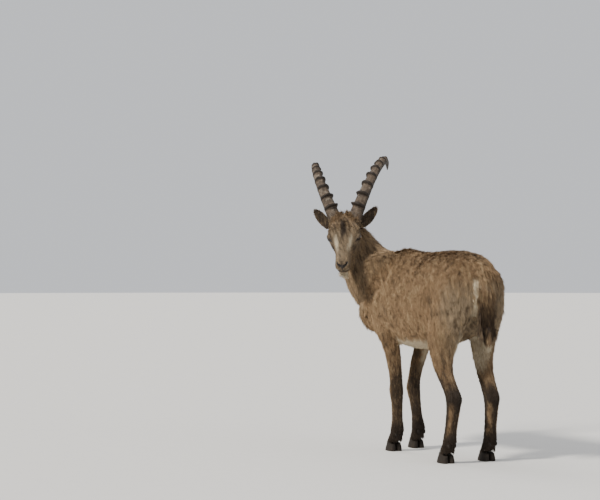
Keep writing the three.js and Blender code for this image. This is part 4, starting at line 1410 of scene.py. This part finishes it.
def make_hooves():
    """The claws of the hooves and the dewclaws, each rounded over its solid."""
    material = hoof_material()
    for node in sorted(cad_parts):
        if not node.startswith(("hoof_", "dewclaw_")):
            continue
        piece = joined_copy("horny_" + node, [node])
        mesh = fuse(piece, HOOF_VOXEL if node.startswith("hoof_") else DEWCLAW_VOXEL)
        edges = read(mesh.edges, "vertices", 2, np.int32)
        points = read(mesh.vertices, "co")
        points = soften(points, edges, np.full((len(points), 1), 0.5), 0.98, HOOF_ROUNDS)
        set_points(mesh, shape_claw(node, points))
        finish_piece(piece, material, [node])


# The stage

FLOOR_REACH = 40
SKY_COLOUR, SKY_POWER = (0.86, 0.88, 0.92, 1), 0.85

# The lights: where each shines from, how wide its source looks, its share of the main light and its colour
LIGHTS = {
    "key": ((-0.9, 5.0, 4.6), 0.16, 1.0, (1.0, 0.95, 0.86)),
    "fill": ((-4.2, -2.0, 2.6), 0.6, 0.10, (0.9, 0.95, 1.0)),
    "back": ((3.6, 0.5, 4.2), 0.5, 0.18, (1.0, 0.98, 0.95)),
}


def make_stage(context):
    """A pale floor, soft light and the camera."""
    stage = settings("stage")
    mesh = bpy.data.meshes.new("floor")
    with editing(mesh) as shape:
        bmesh.ops.create_circle(shape, cap_ends=True, radius=FLOOR_REACH, segments=96)
    floor = link("floor", mesh)
    tree, surface = new_material("Floor")
    grain = tree.noise(tree.object_place(), 14, 4, 0.6)
    colour = tree.mix(grain, stage.floor_colour, shaded(stage.floor_colour, 0.94))
    mesh.materials.append(surface(base_color=colour, roughness=0.8))

    world = bpy.data.worlds.new("Studio")
    world.use_nodes = True
    sky = world.node_tree.nodes["Background"].inputs
    sky["Color"].default_value = SKY_COLOUR
    sky["Strength"].default_value = SKY_POWER
    context.scene.world = world
    for name, (place, size, share, colour) in LIGHTS.items():
        light = bpy.data.lights.new(name, "SUN")
        light.angle = size
        light.energy = stage.key_power * share
        light.color = colour
        link(name, light).rotation_euler = (-Vector(place)).to_track_quat("-Z", "Y").to_euler()

    lens = bpy.data.cameras.new("camera")
    lens.lens = CAMERA_LENS
    lens.sensor_width = SENSOR_WIDTH
    camera = link("camera", lens)
    camera.location = CAMERA_AT
    camera.rotation_euler = (math.pi / 2 + CAMERA_PITCH, 0, CAMERA_YAW - math.pi / 2)
    context.scene.camera = camera


# Operators

class IBEX_OT_skin(bpy.types.Operator):
    """Makes the skin under the coat"""

    bl_idname = "ibex.skin"
    bl_label = "Skin"

    def execute(self, context):
        make_skin()
        return {"FINISHED"}


class IBEX_OT_coat(bpy.types.Operator):
    """Grows the coat's tufts on the skin"""

    bl_idname = "ibex.coat"
    bl_label = "Coat"

    def execute(self, context):
        make_coat()
        return {"FINISHED"}


class IBEX_OT_horns(bpy.types.Operator):
    """Makes both horns"""

    bl_idname = "ibex.horns"
    bl_label = "Horns"

    def execute(self, context):
        make_horns()
        return {"FINISHED"}


class IBEX_OT_eyes(bpy.types.Operator):
    """Makes both eyes"""

    bl_idname = "ibex.eyes"
    bl_label = "Eyes"

    def execute(self, context):
        make_eyes()
        return {"FINISHED"}


class IBEX_OT_hooves(bpy.types.Operator):
    """Makes the hooves and dewclaws"""

    bl_idname = "ibex.hooves"
    bl_label = "Hooves"

    def execute(self, context):
        make_hooves()
        return {"FINISHED"}


class IBEX_OT_stage(bpy.types.Operator):
    """Sets the floor, the lights and the camera"""

    bl_idname = "ibex.stage"
    bl_label = "Stage"

    def execute(self, context):
        make_stage(context)
        return {"FINISHED"}


OPERATORS = (IBEX_OT_skin, IBEX_OT_coat, IBEX_OT_horns, IBEX_OT_eyes, IBEX_OT_hooves, IBEX_OT_stage)


class IBEX_PT_panel(bpy.types.Panel):
    """Lists the pieces and their settings"""

    bl_label = "Ibex"
    bl_idname = "IBEX_PT_panel"
    bl_space_type = "VIEW_3D"
    bl_region_type = "UI"
    bl_category = "Ibex"

    def draw(self, context):
        for operator in OPERATORS:
            self.layout.operator(operator.bl_idname)
        for name, group in SETTINGS.items():
            box = self.layout.box()
            box.label(text=name.capitalize())
            for key in group.__annotations__:
                box.prop(settings(name), key)


def register():
    for group in (*SETTINGS.values(), *OPERATORS, IBEX_PT_panel):
        bpy.utils.register_class(group)
    for name, group in SETTINGS.items():
        setattr(bpy.types.Scene, "ibex_" + name, PointerProperty(type=group))


def unregister():
    for name in SETTINGS:
        delattr(bpy.types.Scene, "ibex_" + name)
    for group in reversed((*SETTINGS.values(), *OPERATORS, IBEX_PT_panel)):
        bpy.utils.unregister_class(group)


def main():
    """Makes every piece."""
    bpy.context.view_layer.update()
    register()
    bpy.ops.ibex.skin()
    bpy.ops.ibex.coat()
    bpy.ops.ibex.horns()
    bpy.ops.ibex.eyes()
    bpy.ops.ibex.hooves()
    bpy.ops.ibex.stage()
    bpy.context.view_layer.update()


if __name__ == "__main__":
    main()
